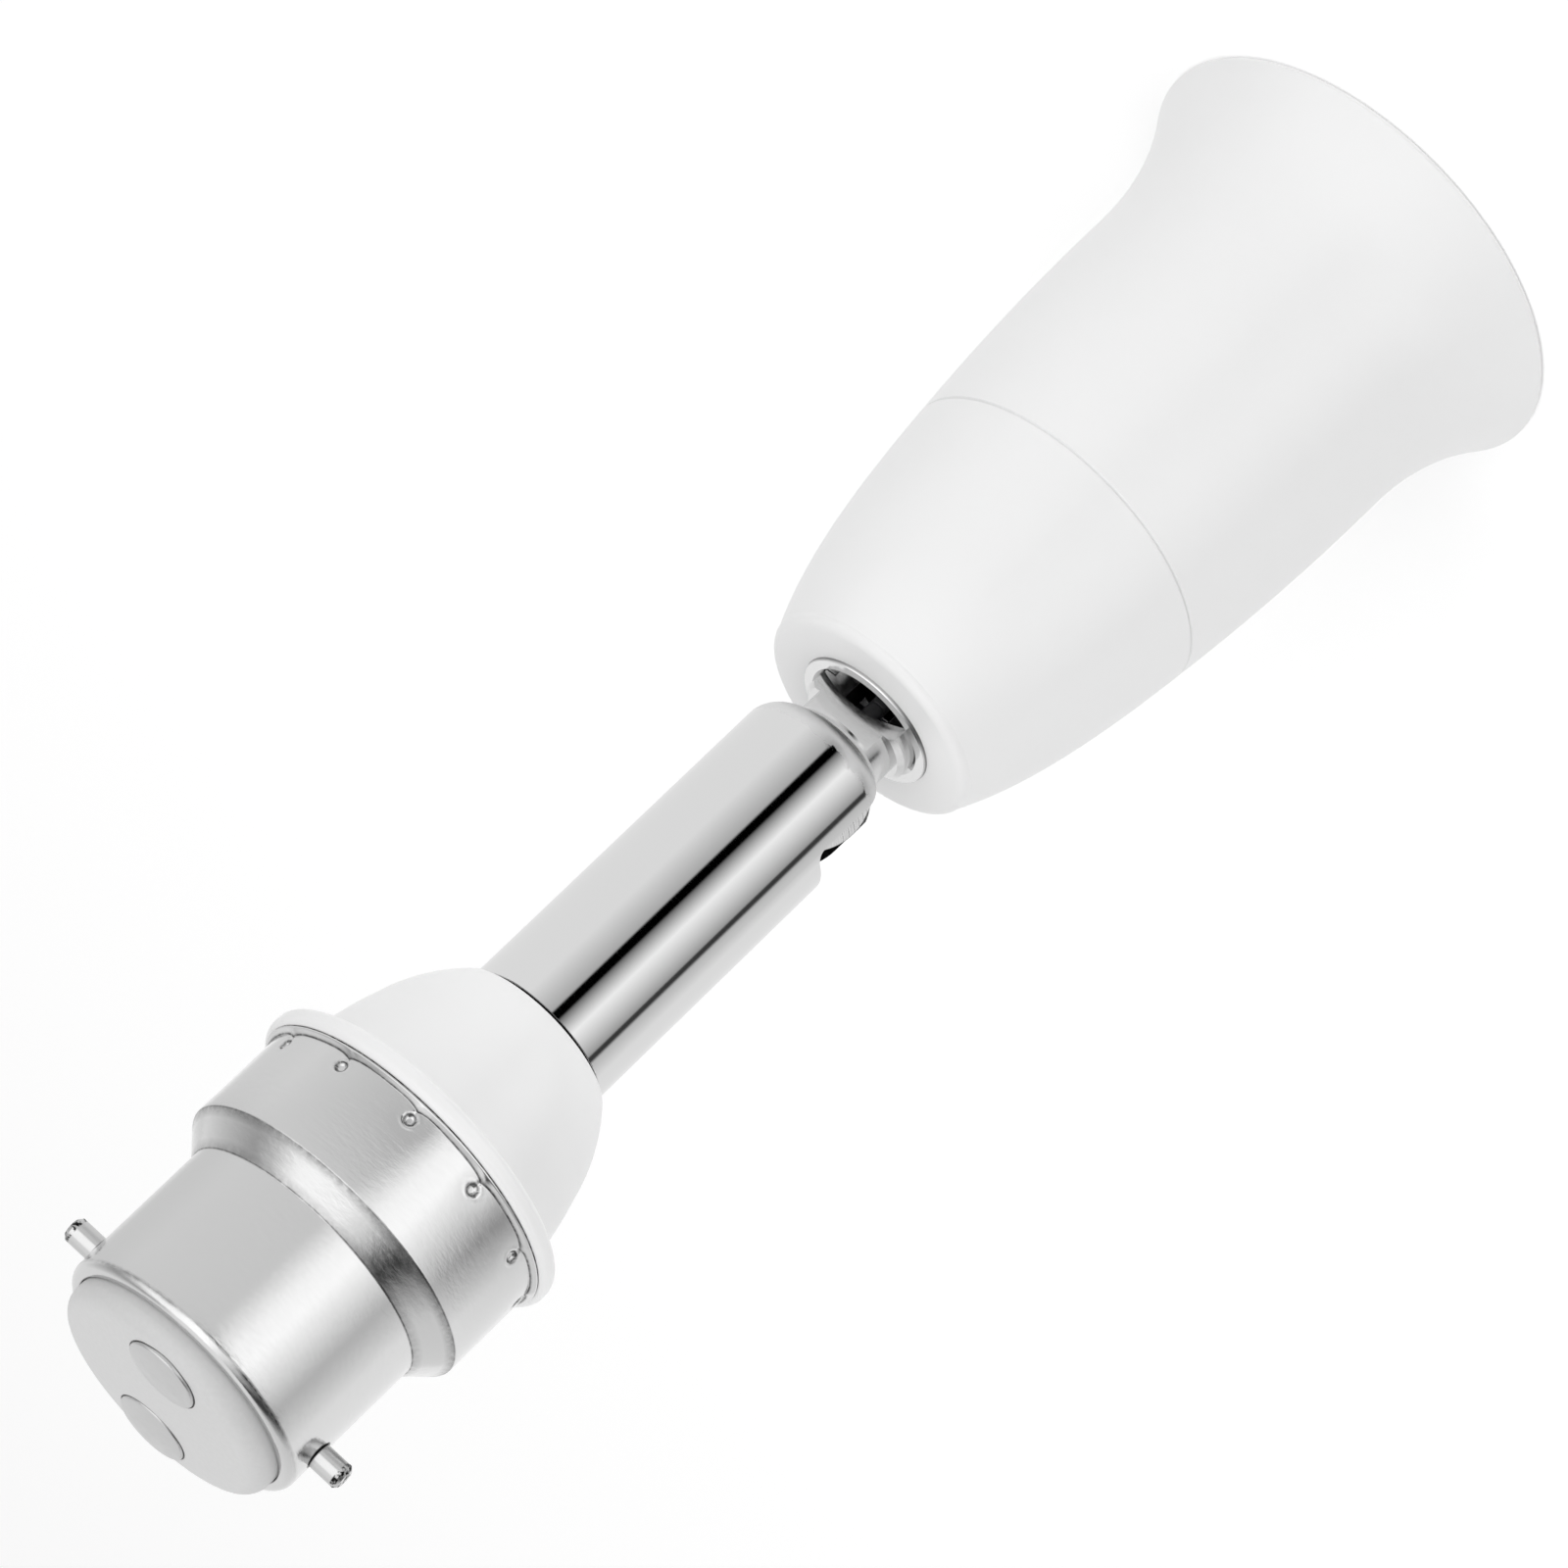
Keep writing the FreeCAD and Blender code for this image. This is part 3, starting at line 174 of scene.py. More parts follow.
# the light that falls on matt faces is a little weaker, and more of it comes from the +X side
matt_slope = 0.25
matt_share = 0.81
slant = add_node(tree, "ShaderNodeMath",
                 {"operation": "MULTIPLY_ADD", 1: matt_slope, 2: matt_share},
                 {0: parts.outputs["X"]}).outputs[0]
matt_ray = add_node(tree, "ShaderNodeLightPath").outputs["Is Diffuse Ray"]
weight = add_node(tree, "ShaderNodeMix", {2: 1.0}, {0: matt_ray, 3: slant}).outputs[0]
strength = add_node(tree, "ShaderNodeMath", {"operation": "MULTIPLY", 1: ramp_scale},
                    {0: weight}).outputs[0]
background = add_node(tree, "ShaderNodeBackground", {}, {"Color": level, "Strength": strength})
add_node(tree, "ShaderNodeOutputWorld", links={"Surface": background.outputs[0]})

softbox_data = bpy.data.lights.new("overhead_softbox", "AREA")
softbox_data.size = 0.9
softbox_data.energy = 4.2
softbox = bpy.data.objects.new("overhead_softbox", softbox_data)
softbox.location = (0.15, 0.25, 1.1)
softbox.rotation_euler = (math.radians(-12), math.radians(8), 0)
softbox.visible_glossy = False
bpy.context.scene.collection.objects.link(softbox)


# A ring of paper stands round the adapter at the height that the upright walls of the bayonet cap
# mirror: pale, with a grey stretch at 25 degrees and a bright card from 65 to 80. skirt_levels is
# its lower half, barrel_levels its upper half. Only mirrors see it. Seen level,
# its lower edge shows as a line across the tube.

def ring_wall(radius, low, high, columns):
    """Two rows of points (radius cos a, radius sin a, z), with equal steps of a round the axis."""
    a = np.linspace(-math.pi, math.pi, columns, endpoint=False)
    rows = [np.stack([radius * np.cos(a), radius * np.sin(a), np.full(columns, z)], axis=-1)
            for z in (low, high)]
    i = np.arange(columns)
    j = (i + 1) % columns
    return np.concatenate(rows), np.stack([i, j, j + columns, i + columns], axis=-1)


ring_radius = 0.06
ring_low, ring_high = 0.082, 0.124
points, faces = ring_wall(ring_radius, ring_low, ring_high, 180)
ring_mesh = bpy.data.meshes.new("paper_ring")
ring_mesh.from_pydata(points.tolist(), [], faces.tolist())
paper_ring = bpy.data.objects.new("paper_ring", ring_mesh)
bpy.context.scene.collection.objects.link(paper_ring)
ring_paint = bpy.data.materials.new("lit_paper_ring")
ring_paint.use_nodes = True
tree = ring_paint.node_tree
tree.nodes.clear()
place = add_node(tree, "ShaderNodeTexCoord").outputs["Object"]
parts = add_node(tree, "ShaderNodeSeparateXYZ", links={0: place})
azimuth = add_node(tree, "ShaderNodeMath", {"operation": "ARCTAN2"},
                   {0: parts.outputs["Y"], 1: parts.outputs["X"]}).outputs[0]
skirt_levels = [(-180, 0.9), (-130, 0.8), (-110, 1.1), (-10, 0.9), (25, 0.35), (65, 1.4),
                (80, 1.3), (95, 0.6), (180, 0.9)]
barrel_levels = [(-180, 0.85), (-130, 0.75), (-100, 1.0), (-10, 1.0), (25, 0.6), (65, 1.4),
                 (80, 1.3), (100, 0.8), (180, 0.85)]
lifted = add_node(tree, "ShaderNodeMapRange",
                  {"interpolation_type": "SMOOTHSTEP", "From Min": 0.097, "From Max": 0.102},
                  {"Value": parts.outputs["Z"]}).outputs[0]
level = add_node(tree, "ShaderNodeMix", {"data_type": "RGBA"},
                 {0: lifted, 6: levels_round(tree, azimuth, skirt_levels),
                  7: levels_round(tree, azimuth, barrel_levels)}).outputs[2]
glow = add_node(tree, "ShaderNodeEmission", {"Strength": ramp_scale}, {"Color": level})
add_node(tree, "ShaderNodeOutputMaterial", links={"Surface": glow.outputs[0]})
ring_mesh.materials.append(ring_paint)
paper_ring.visible_camera = False
paper_ring.visible_diffuse = False
paper_ring.visible_shadow = False


# ---- Bell, cap of the holder and collar are moulded in one semi-gloss white plastic. The mould was
# polished, so the skin is smooth but for a faint long swell, and its tone drifts very slightly.
white_moulding, tree, shader = new_material("moulded_white_abs")
place = add_node(tree, "ShaderNodeTexCoord").outputs["Object"]
clouds = add_node(tree, "ShaderNodeTexNoise", {"Scale": 60.0, "Detail": 2.0}, {"Vector": place})
tint = add_node(tree, "ShaderNodeMix",
                {"data_type": "RGBA", 6: linear("F0F0F0"), 7: linear("F4F4F4")},
                {0: clouds.outputs["Fac"]})
tree.links.new(tint.outputs[2], shader.inputs["Base Color"])
# mould polish leaves a swell about 1.5 mm long
swell = add_node(tree, "ShaderNodeTexNoise", {"Scale": 650.0, "Detail": 1.0}, {"Vector": place})
skin = add_node(tree, "ShaderNodeBump", {"Strength": 0.04, "Distance": 0.0002},
                {"Height": swell.outputs["Fac"]})
tree.links.new(skin.outputs[0], shader.inputs["Normal"])
shader.inputs["Roughness"].default_value = 0.28
shader.inputs["IOR"].default_value = 1.53
finish_with(["holder_bell", "holder_cap", "base_collar"], white_moulding)


# ---- The extension tube is drawn steel with polished chrome plate. Polishing on a lathe left fine
# lines round it that ruffle the edges of the mirrored bands, and the rolled end is scuffed.

def hatch(tree, place, streak_mm, line_mm, detail=3.0):
    """Noise drawn out round the upright axis: streaks of one length, lines of one width."""
    along = 1000.0 / streak_mm
    across = 1000.0 / line_mm
    stretched = add_node(tree, "ShaderNodeVectorMath",
                         {"operation": "MULTIPLY", 1: (along, along, across)}, {0: place})
    return add_node(tree, "ShaderNodeTexNoise", {"Scale": 1.0, "Detail": detail, "Roughness": 0.6},
                    {"Vector": stretched.outputs[0]}).outputs["Fac"]


def within(tree, value, low, high, soft):
    """1 while a value in metres lies between two limits, and 0 beyond them by the soft margin."""
    rise = add_node(tree, "ShaderNodeMapRange",
                    {"interpolation_type": "SMOOTHSTEP", "From Min": low - soft, "From Max": low},
                    {"Value": value}).outputs[0]
    fall = add_node(tree, "ShaderNodeMapRange",
                    {"interpolation_type": "SMOOTHSTEP", "From Min": high, "From Max": high + soft,
                     "To Min": 1.0, "To Max": 0.0}, {"Value": value}).outputs[0]
    return add_node(tree, "ShaderNodeMath", {"operation": "MULTIPLY"},
                    {0: rise, 1: fall}).outputs[0]


def lathe_metal(name, colour, roughness, spread, streak_mm, line_mm, depth_mm, darkening=None):
    """Metal finished on a lathe: the hatch drives roughness and a fine bump. Where the mask
    function given last, called with (tree, place), is 1, the plate is painted near black and made
    rougher."""
    material, tree, shader = new_material(name)
    place = add_node(tree, "ShaderNodeTexCoord").outputs["Object"]
    grain = hatch(tree, place, streak_mm, line_mm)
    gloss = add_node(tree, "ShaderNodeMapRange",
                     {"From Min": 0.3, "From Max": 0.75, "To Min": roughness,
                      "To Max": roughness + spread}, {"Value": grain})
    lines = add_node(tree, "ShaderNodeBump", {"Strength": 0.5, "Distance": depth_mm / 1000.0},
                     {"Height": grain})
    tree.links.new(lines.outputs[0], shader.inputs["Normal"])
    shader.inputs["Metallic"].default_value = 1.0
    if darkening is None:
        shader.inputs["Base Color"].default_value = linear(colour)
        tree.links.new(gloss.outputs[0], shader.inputs["Roughness"])
        return material
    darkening_mask = darkening(tree, place)
    tint = add_node(tree, "ShaderNodeMix",
                    {"data_type": "RGBA", 6: linear(colour), 7: linear("161616")}, {0: darkening_mask})
    tree.links.new(tint.outputs[2], shader.inputs["Base Color"])
    dulled = add_node(tree, "ShaderNodeMath", {"operation": "MULTIPLY_ADD", 1: 0.3},
                      {0: darkening_mask, 2: gloss.outputs[0]})
    tree.links.new(dulled.outputs[0], shader.inputs["Roughness"])
    return material


def shaded_collar_joint(tree, place):
    """Painted shade: a dark band round the tube just below the collar, where the tube enters it."""
    height = add_node(tree, "ShaderNodeSeparateXYZ", links={0: place}).outputs["Z"]
    return within(tree, height, 0.09572, 0.09606, 0.00006)


chrome = lathe_metal("polished_chrome_plate", "E2E2E2", roughness=0.03, spread=0.05,
                     streak_mm=1.6, line_mm=0.22, depth_mm=0.0022, darkening=shaded_collar_joint)
# the plate is worn dull on the rolled end, up to a ragged edge
tree = chrome.node_tree
shader = tree.nodes["Principled BSDF"]
place = tree.nodes["Texture Coordinate"].outputs["Object"]
height = add_node(tree, "ShaderNodeSeparateXYZ", links={0: place}).outputs["Z"]
worn_below = 0.0658
ragged_by = 0.0016
ragged = add_node(tree, "ShaderNodeMath", {"operation": "MULTIPLY_ADD", 1: ragged_by},
                  {0: hatch(tree, place, 1.1, 0.7), 2: height})
wear_and_shade_patches = add_node(tree, "ShaderNodeMapRange",
                {"From Min": 0.0656, "From Max": worn_below, "To Min": 0.34, "To Max": 0.0},
                {"Value": ragged.outputs[0]}).outputs[0]
dulled = add_node(tree, "ShaderNodeMath", {"operation": "ADD"},
                  {0: shader.inputs["Roughness"].links[0].from_socket, 1: wear_and_shade_patches})
tree.links.new(dulled.outputs[0], shader.inputs["Roughness"])
finish_with(["extension_tube"], chrome)


# ---- The stem is turned and nickel plated. Its ball keeps the rings that the tool left, 0.6 mm
# apart. Painted shade darkens the drilled passage for the wires and the slot of the ball. The
# bush in the holder's floor is a little brighter, with a darkened outer edge.

def shaded_stem_bore(tree, place):
    """Painted shade inside the passage through the stem and in the slot of its ball."""
    parts = add_node(tree, "ShaderNodeSeparateXYZ", links={0: place})
    flat = add_node(tree, "ShaderNodeVectorMath", {"operation": "MULTIPLY", 1: (1, 1, 0)},
                    {0: place})
    out = add_node(tree, "ShaderNodeVectorMath", {"operation": "LENGTH"}, {0: flat.outputs[0]})
    bore = within(tree, out.outputs["Value"], -1.0, 0.00233, 0.00008)
    sideways = add_node(tree, "ShaderNodeMath", {"operation": "ABSOLUTE"}, {0: parts.outputs["Y"]})
    slot = within(tree, sideways.outputs[0], -1.0, 0.00231, 0.00008)
    right = within(tree, parts.outputs["X"], 0.0005, 1.0, 0.0003)
    high = within(tree, parts.outputs["Z"], 0.0645, 1.0, 0.0003)
    corner = add_node(tree, "ShaderNodeMath", {"operation": "MULTIPLY"}, {0: right, 1: high})
    cut = add_node(tree, "ShaderNodeMath", {"operation": "MULTIPLY"},
                   {0: slot, 1: corner.outputs[0]})
    return add_node(tree, "ShaderNodeMath", {"operation": "MAXIMUM"},
                    {0: bore, 1: cut.outputs[0]}).outputs[0]


turned_nickel = lathe_metal("turned_nickel_plate", "D6D6D6", roughness=0.12, spread=0.1,
                            streak_mm=1.0, line_mm=0.16, depth_mm=0.003, darkening=shaded_stem_bore)
tree = turned_nickel.node_tree
shader = tree.nodes["Principled BSDF"]
lines = shader.inputs["Normal"].links[0].from_node
place = tree.nodes["Texture Coordinate"].outputs["Object"]
height = add_node(tree, "ShaderNodeSeparateXYZ", links={0: place}).outputs["Z"]
ring_spacing = 0.0006
phase = add_node(tree, "ShaderNodeMath", {"operation": "MULTIPLY", 1: 2 * math.pi / ring_spacing},
                 {0: height})
ring_wave = add_node(tree, "ShaderNodeMath", {"operation": "SINE"}, {0: phase.outputs[0]})
on_ball = within(tree, height, 0.0642, 0.073, 0.0004)
ring_height = add_node(tree, "ShaderNodeMath", {"operation": "MULTIPLY"},
                       {0: ring_wave.outputs[0], 1: on_ball})
rings = add_node(tree, "ShaderNodeBump", {"Strength": 0.9, "Distance": 0.00006},
                 {"Height": ring_height.outputs[0], "Normal": lines.outputs[0]})
tree.links.new(rings.outputs[0], shader.inputs["Normal"])
finish_with(["swivel_stem"], turned_nickel)


def darkened_bush_edge(tree, place):
    """The outer edge of the bush is darkened."""
    flat = add_node(tree, "ShaderNodeVectorMath", {"operation": "MULTIPLY", 1: (1, 1, 0)},
                    {0: place})
    out = add_node(tree, "ShaderNodeVectorMath", {"operation": "LENGTH"}, {0: flat.outputs[0]})
    edge = within(tree, out.outputs["Value"], 0.00606, 1.0, 0.00004)
    return add_node(tree, "ShaderNodeMath", {"operation": "MULTIPLY", 1: 0.55},
                    {0: edge}).outputs[0]


bush_nickel = lathe_metal("bush_nickel_plate", "DADADA", roughness=0.1, spread=0.1,
                          streak_mm=1.0, line_mm=0.16, depth_mm=0.002, darkening=darkened_bush_edge)
finish_with(["entry_bush"], bush_nickel)


# ---- The bayonet cap is drawn from thin brass and satin nickel plated. Its lower edge is flared
# over the collar's flange, and twelve punch marks lock it there, each pulling the crease of the
# flare towards it. Its upper edge is folded in over the plug.

def rounded_line(corners, radii, steps=6):
    """Profile through corner points, each corner replaced by an arc of its radius: the arc starts
    at radius / tan(half the inside angle) before the corner, and is sampled as a quadratic Bezier
    curve."""
    corners = np.array(corners, float)
    before = np.roll(corners, 1, axis=0) - corners
    after = np.roll(corners, -1, axis=0) - corners
    before /= np.linalg.norm(before, axis=1)[:, None]
    after /= np.linalg.norm(after, axis=1)[:, None]
    inside = np.arccos(np.clip((before * after).sum(1), -1, 1))
    trim = (np.array(radii) / np.tan(inside / 2))[:, None]
    t = np.linspace(0, 1, steps)[None, :, None]
    start = (corners + before * trim)[:, None, :]
    end = (corners + after * trim)[:, None, :]
    middle = corners[:, None, :]
    return ((1 - t) ** 2 * start + 2 * t * (1 - t) * middle + t ** 2 * end).reshape(-1, 2)


def closed_surface(name, points, material, shades=None):
    """Mesh on a grid of points in mm that closes on itself both ways, faces outwards: the sign of
    the enclosed volume tells which way the quads have to run."""
    rows, columns = points.shape[:2]
    index = np.arange(rows * columns).reshape(rows, columns)
    right = np.roll(index, -1, axis=1)
    up = np.roll(index, -1, axis=0)
    corner = np.roll(up, -1, axis=1)
    quads = np.stack([index, right, corner, up], axis=-1).reshape(-1, 4)
    flat = points.reshape(-1, 3) / 1000
    a, b, c, d = (flat[quads[:, k]] for k in range(4))
    volume = (np.cross(a, b) * c).sum() + (np.cross(a, c) * d).sum()
    if volume < 0:
        quads = quads[:, ::-1]
    mesh = bpy.data.meshes.new(name)
    mesh.vertices.add(len(flat))
    mesh.vertices.foreach_set("co", flat.ravel())
    mesh.loops.add(quads.size)
    mesh.loops.foreach_set("vertex_index", quads.ravel())
    mesh.polygons.add(len(quads))
    mesh.polygons.foreach_set("loop_start", np.arange(0, quads.size, 4))
    mesh.polygons.foreach_set("use_smooth", np.ones(len(quads), bool))
    mesh.update(calc_edges=True)
    mesh.validate()
    if shades is not None:
        layer = mesh.attributes.new("shade", "FLOAT", "POINT")
        layer.data.foreach_set("value", shades.ravel())
    mesh.materials.append(material)
    piece = bpy.data.objects.new(name, mesh)
    bpy.context.scene.collection.objects.link(piece)
    return piece


def cap_wall(corner_line, marks, first_mark, mark_height, skirt):
    """Rows follow the closed profile of the sheet, columns go round the axis and crowd at the punch
    marks: angle = 15 (0.25 v + 0.75 v^3) degrees from a mark. The lower crease climbs towards each
    mark, and the mark is a smooth punch of 0.28 mm with a narrow raised rim. The second result is
    how dark each point is
    painted, 0 to 1: painted shade in the crease, round the marks, at the lip and the step edges,
    and a painted dark reflection along the fold."""
    step = np.linalg.norm(np.roll(corner_line, -1, axis=0) - corner_line, axis=1)
    line = corner_line[step > 1e-4]
    step = step[step > 1e-4]
    # rows are 0.07 mm apart where the marks are, and up to 0.9 mm elsewhere
    low = (line[:, 1] < 112.95) & (line[:, 0] > skirt - 0.02)
    parts_of = np.ceil(step / np.where(low, 0.07, 0.9)).astype(int)
    which = np.repeat(np.arange(len(line)), parts_of)
    share = (np.arange(parts_of.sum()) - np.repeat(np.cumsum(parts_of) - parts_of, parts_of))
    share = (share / np.repeat(parts_of, parts_of))[:, None]
    line = line[which] * (1 - share) + line[(which + 1) % len(line)] * share
    v = np.linspace(-1, 1, 28, endpoint=False)
    from_mark = 15 * (0.25 * v + 0.75 * v ** 3)
    period = 360 / marks
    at_marks = first_mark + period * np.arange(marks)[:, None]
    angle = np.radians((at_marks + from_mark[None, :]).ravel())
    aside = np.tile(np.radians(from_mark) * skirt, marks)[None, :]
    radius = np.repeat(line[:, :1], len(angle), axis=1)
    height = np.repeat(line[:, 1:], len(angle), axis=1)
    outer = (radius > skirt - 0.02) & (height > 110.05)
    climb = 0.24 * np.exp(-(np.abs(aside) / 0.6) ** 1.2)
    crease = np.exp(-((height - 110.46) / 0.05) ** 2) * outer
    height = height + outer * climb * np.interp(height, [110.22, 110.46, 112.2], [0, 1, 0])
    near = np.hypot(aside, height - mark_height)
    inner = np.clip((0.56 - near) / 0.34, 0, 1)
    punch = 0.28 * inner ** 2 * (3 - 2 * inner) - 0.04 * np.exp(-((near - 0.68) / 0.09) ** 2)
    hollow = 0.07 * np.exp(-(near / 1.1) ** 2)
    valley = (0.12 * np.exp(-(aside / 0.17) ** 2)
              * np.interp(height, [110.4, 110.8, 111.2], [0, 1, 0]))
    outer = outer & (height < 114)
    radius = radius - outer * (punch + hollow + valley)
    rim = np.exp(-((near - 0.45) / 0.07) ** 2) * outer
    out, up = line[:, :1], line[:, 1:]
    lip = (up < 110.12) & (out > 13.4)
    steps = 0.7 * np.exp(-((up - 118.36) / 0.07) ** 2) * (out > 12.9)
    steps = steps + 0.8 * np.exp(-((up - 120.62) / 0.07) ** 2) * (out < 11.3) * (out > 10.9)
    # the fold carries a painted dark reflection, strongest on one side
    dark_reflection_side = np.interp(np.degrees(angle) % 360, [40, 48, 74, 80, 104, 112, 150, 160],
                      [0.2, 1, 1, 0, 0, 0.6, 0.5, 0.2])
    fold = np.exp(-((up - 132.75) / 0.14) ** 2) * (out > 10.7) * dark_reflection_side[None, :]
    shade = np.clip(np.maximum(np.maximum(crease, rim), lip + steps + fold), 0, 1)
    points = np.stack([radius * np.cos(angle), radius * np.sin(angle), height], axis=-1)
    return points, shade


pin_angle = math.radians(11.5)
pin_height = 0.1303


def shaded_cap_creases(tree, place):
    """Painted shade in the creases, from the mesh's shade attribute, and a painted shade ring round
    the root of each pin, all made patchy by streaky noise.
    """
    shade = add_node(tree, "ShaderNodeAttribute", {"attribute_name": "shade"}).outputs["Fac"]
    square_to_pins = (-math.sin(pin_angle), math.cos(pin_angle), 0)
    across = add_node(tree, "ShaderNodeVectorMath", {"operation": "DOT_PRODUCT", 1: square_to_pins},
                      {0: place}).outputs["Value"]
    height = add_node(tree, "ShaderNodeSeparateXYZ", links={0: place}).outputs["Z"]
    lifted = add_node(tree, "ShaderNodeMath", {"operation": "SUBTRACT", 1: pin_height},
                      {0: height}).outputs[0]
    pair = add_node(tree, "ShaderNodeCombineXYZ", links={"X": across, "Y": lifted})
    out = add_node(tree, "ShaderNodeVectorMath", {"operation": "LENGTH"}, {0: pair.outputs[0]})
    ring = within(tree, out.outputs["Value"], 0.0009, 0.00118, 0.0001)
    patchy = add_node(tree, "ShaderNodeMapRange", {"From Min": 0.3, "From Max": 0.6, "To Min": 0.5},
                      {"Value": hatch(tree, place, 0.6, 0.4)}).outputs[0]
    marked = add_node(tree, "ShaderNodeMath", {"operation": "MAXIMUM"}, {0: shade, 1: ring})
    return add_node(tree, "ShaderNodeMath", {"operation": "MULTIPLY"},
                    {0: marked.outputs[0], 1: patchy}).outputs[0]


satin_nickel = lathe_metal("satin_nickel_plate", "D8D8D8", roughness=0.1, spread=0.12,
                           streak_mm=0.9, line_mm=0.3, depth_mm=0.03, darkening=shaded_cap_creases)
# (radius, height) in mm: the fold over the plug, the barrel and the skirt down the outside, the
# flared lip, and back up the inside of the sheet
barrel, skirt = 11.0, 13.12
barrel_inside, skirt_inside = 10.62, 12.74
cap_corners = [(9.9, 133.02), (9.9, 133.4), (barrel, 133.4), (barrel, 120.65), (skirt, 118.3),
               (skirt, 112.9), (skirt, 110.5), (13.6, 110.22), (13.6, 110.02), (13.3, 110.02),
               (skirt_inside, 110.7), (skirt_inside, 118.1), (barrel_inside, 120.45),
               (barrel_inside, 133.02)]
cap_rounds = [0.12, 0.15, 0.9, 0.35, 0.35, 0, 0.1, 0.08, 0.08, 0.1, 0.3, 0.3, 0.3, 0.4]
wall, wall_shade = cap_wall(rounded_line(cap_corners, cap_rounds, 8), marks=12, first_mark=8.8,
                            mark_height=111.5, skirt=skirt)
drawn_cap = closed_surface("drawn_cap_shell", wall, satin_nickel, wall_shade)
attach(drawn_cap, "base")
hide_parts("cap_shell")


def shaded_pin_ends(tree, place):
    """Painted shade: a dark ring where each pin leaves the barrel, and patchy dark on its chamfered
    tip.
    """
    along_pins = (math.cos(pin_angle), math.sin(pin_angle), 0)
    out = add_node(tree, "ShaderNodeVectorMath", {"operation": "DOT_PRODUCT", 1: along_pins},
                   {0: place}).outputs["Value"]
    reach = add_node(tree, "ShaderNodeMath", {"operation": "ABSOLUTE"}, {0: out}).outputs[0]
    wear_and_shade_patches = add_node(tree, "ShaderNodeMapRange", {"From Min": 0.45, "From Max": 0.6},
                    {"Value": hatch(tree, place, 0.5, 0.3)}).outputs[0]
    root = within(tree, reach, 0.0108, 0.01102, 0.00012)
    tip = within(tree, reach, 0.01305, 1.0, 0.0001)
    shaded_tip = add_node(tree, "ShaderNodeMath", {"operation": "MULTIPLY"}, {0: wear_and_shade_patches, 1: tip})
    return add_node(tree, "ShaderNodeMath", {"operation": "MAXIMUM"},
                    {0: root, 1: shaded_tip.outputs[0]}).outputs[0]


pin_nickel = lathe_metal("pin_nickel_plate", "CECECE", roughness=0.16, spread=0.1,
                         streak_mm=0.6, line_mm=0.3, depth_mm=0.006, darkening=shaded_pin_ends)
finish_with(["cap_pins"], pin_nickel)


# ---- The plug that closes the cap is moulded in light grey insulating resin, with a fine matt
# grain. Painted shade draws a dark line round each contact, in the gap where it sits in its recess.
grey_resin, tree, shader = new_material("moulded_grey_resin")
place = add_node(tree, "ShaderNodeTexCoord").outputs["Object"]
grain = add_node(tree, "ShaderNodeTexNoise", {"Scale": 2500.0, "Detail": 2.0}, {"Vector": place})
tint = add_node(tree, "ShaderNodeMix",
                {"data_type": "RGBA", 6: linear("C9C9C9"), 7: linear("D1D1D1")},
                {0: grain.outputs["Fac"]})
contact_angle = math.radians(101.5)
contact_out = 0.0057
contact_rings = []
for side in (1, -1):
    middle = (side * contact_out * math.cos(contact_angle),
              side * contact_out * math.sin(contact_angle), 0)
    moved = add_node(tree, "ShaderNodeVectorMath", {"operation": "SUBTRACT", 1: middle}, {0: place})
    flat = add_node(tree, "ShaderNodeVectorMath", {"operation": "MULTIPLY", 1: (1, 1, 0)},
                    {0: moved.outputs[0]})
    out = add_node(tree, "ShaderNodeVectorMath", {"operation": "LENGTH"}, {0: flat.outputs[0]})
    contact_rings.append(within(tree, out.outputs["Value"], 0.00300, 0.00318, 0.00006))
contact_ring = add_node(tree, "ShaderNodeMath", {"operation": "MAXIMUM"},
                        {0: contact_rings[0], 1: contact_rings[1]}).outputs[0]
# painted shade in the gap round each contact
recess_shade_tint = add_node(tree, "ShaderNodeMix", {"data_type": "RGBA", 7: linear("6A6A6A")},
                 {0: contact_ring, 6: tint.outputs[2]})
tree.links.new(recess_shade_tint.outputs[2], shader.inputs["Base Color"])
skin = add_node(tree, "ShaderNodeBump", {"Strength": 0.15, "Distance": 0.0001},
                {"Height": grain.outputs["Fac"]})
tree.links.new(skin.outputs[0], shader.inputs["Normal"])
shader.inputs["Roughness"].default_value = 0.4
finish_with(["cap_insulator"], grey_resin)


# ---- The two contacts are pressed brass, tinned: the tin is duller and softer to the eye than the
# nickel of the barrel round them.
tinned_brass = lathe_metal("tinned_brass", "D0D0D0", roughness=0.28, spread=0.15,
                           streak_mm=1.2, line_mm=0.2, depth_mm=0.002)
finish_with(["contact_plates"], tinned_brass)


# ---- The screw shell is rolled from thin brass sheet with a light nickel wash, a pale warm metal.
# Its round thread has a pitch of 3.62 mm, and its flat roof ring is riveted under the insulator.

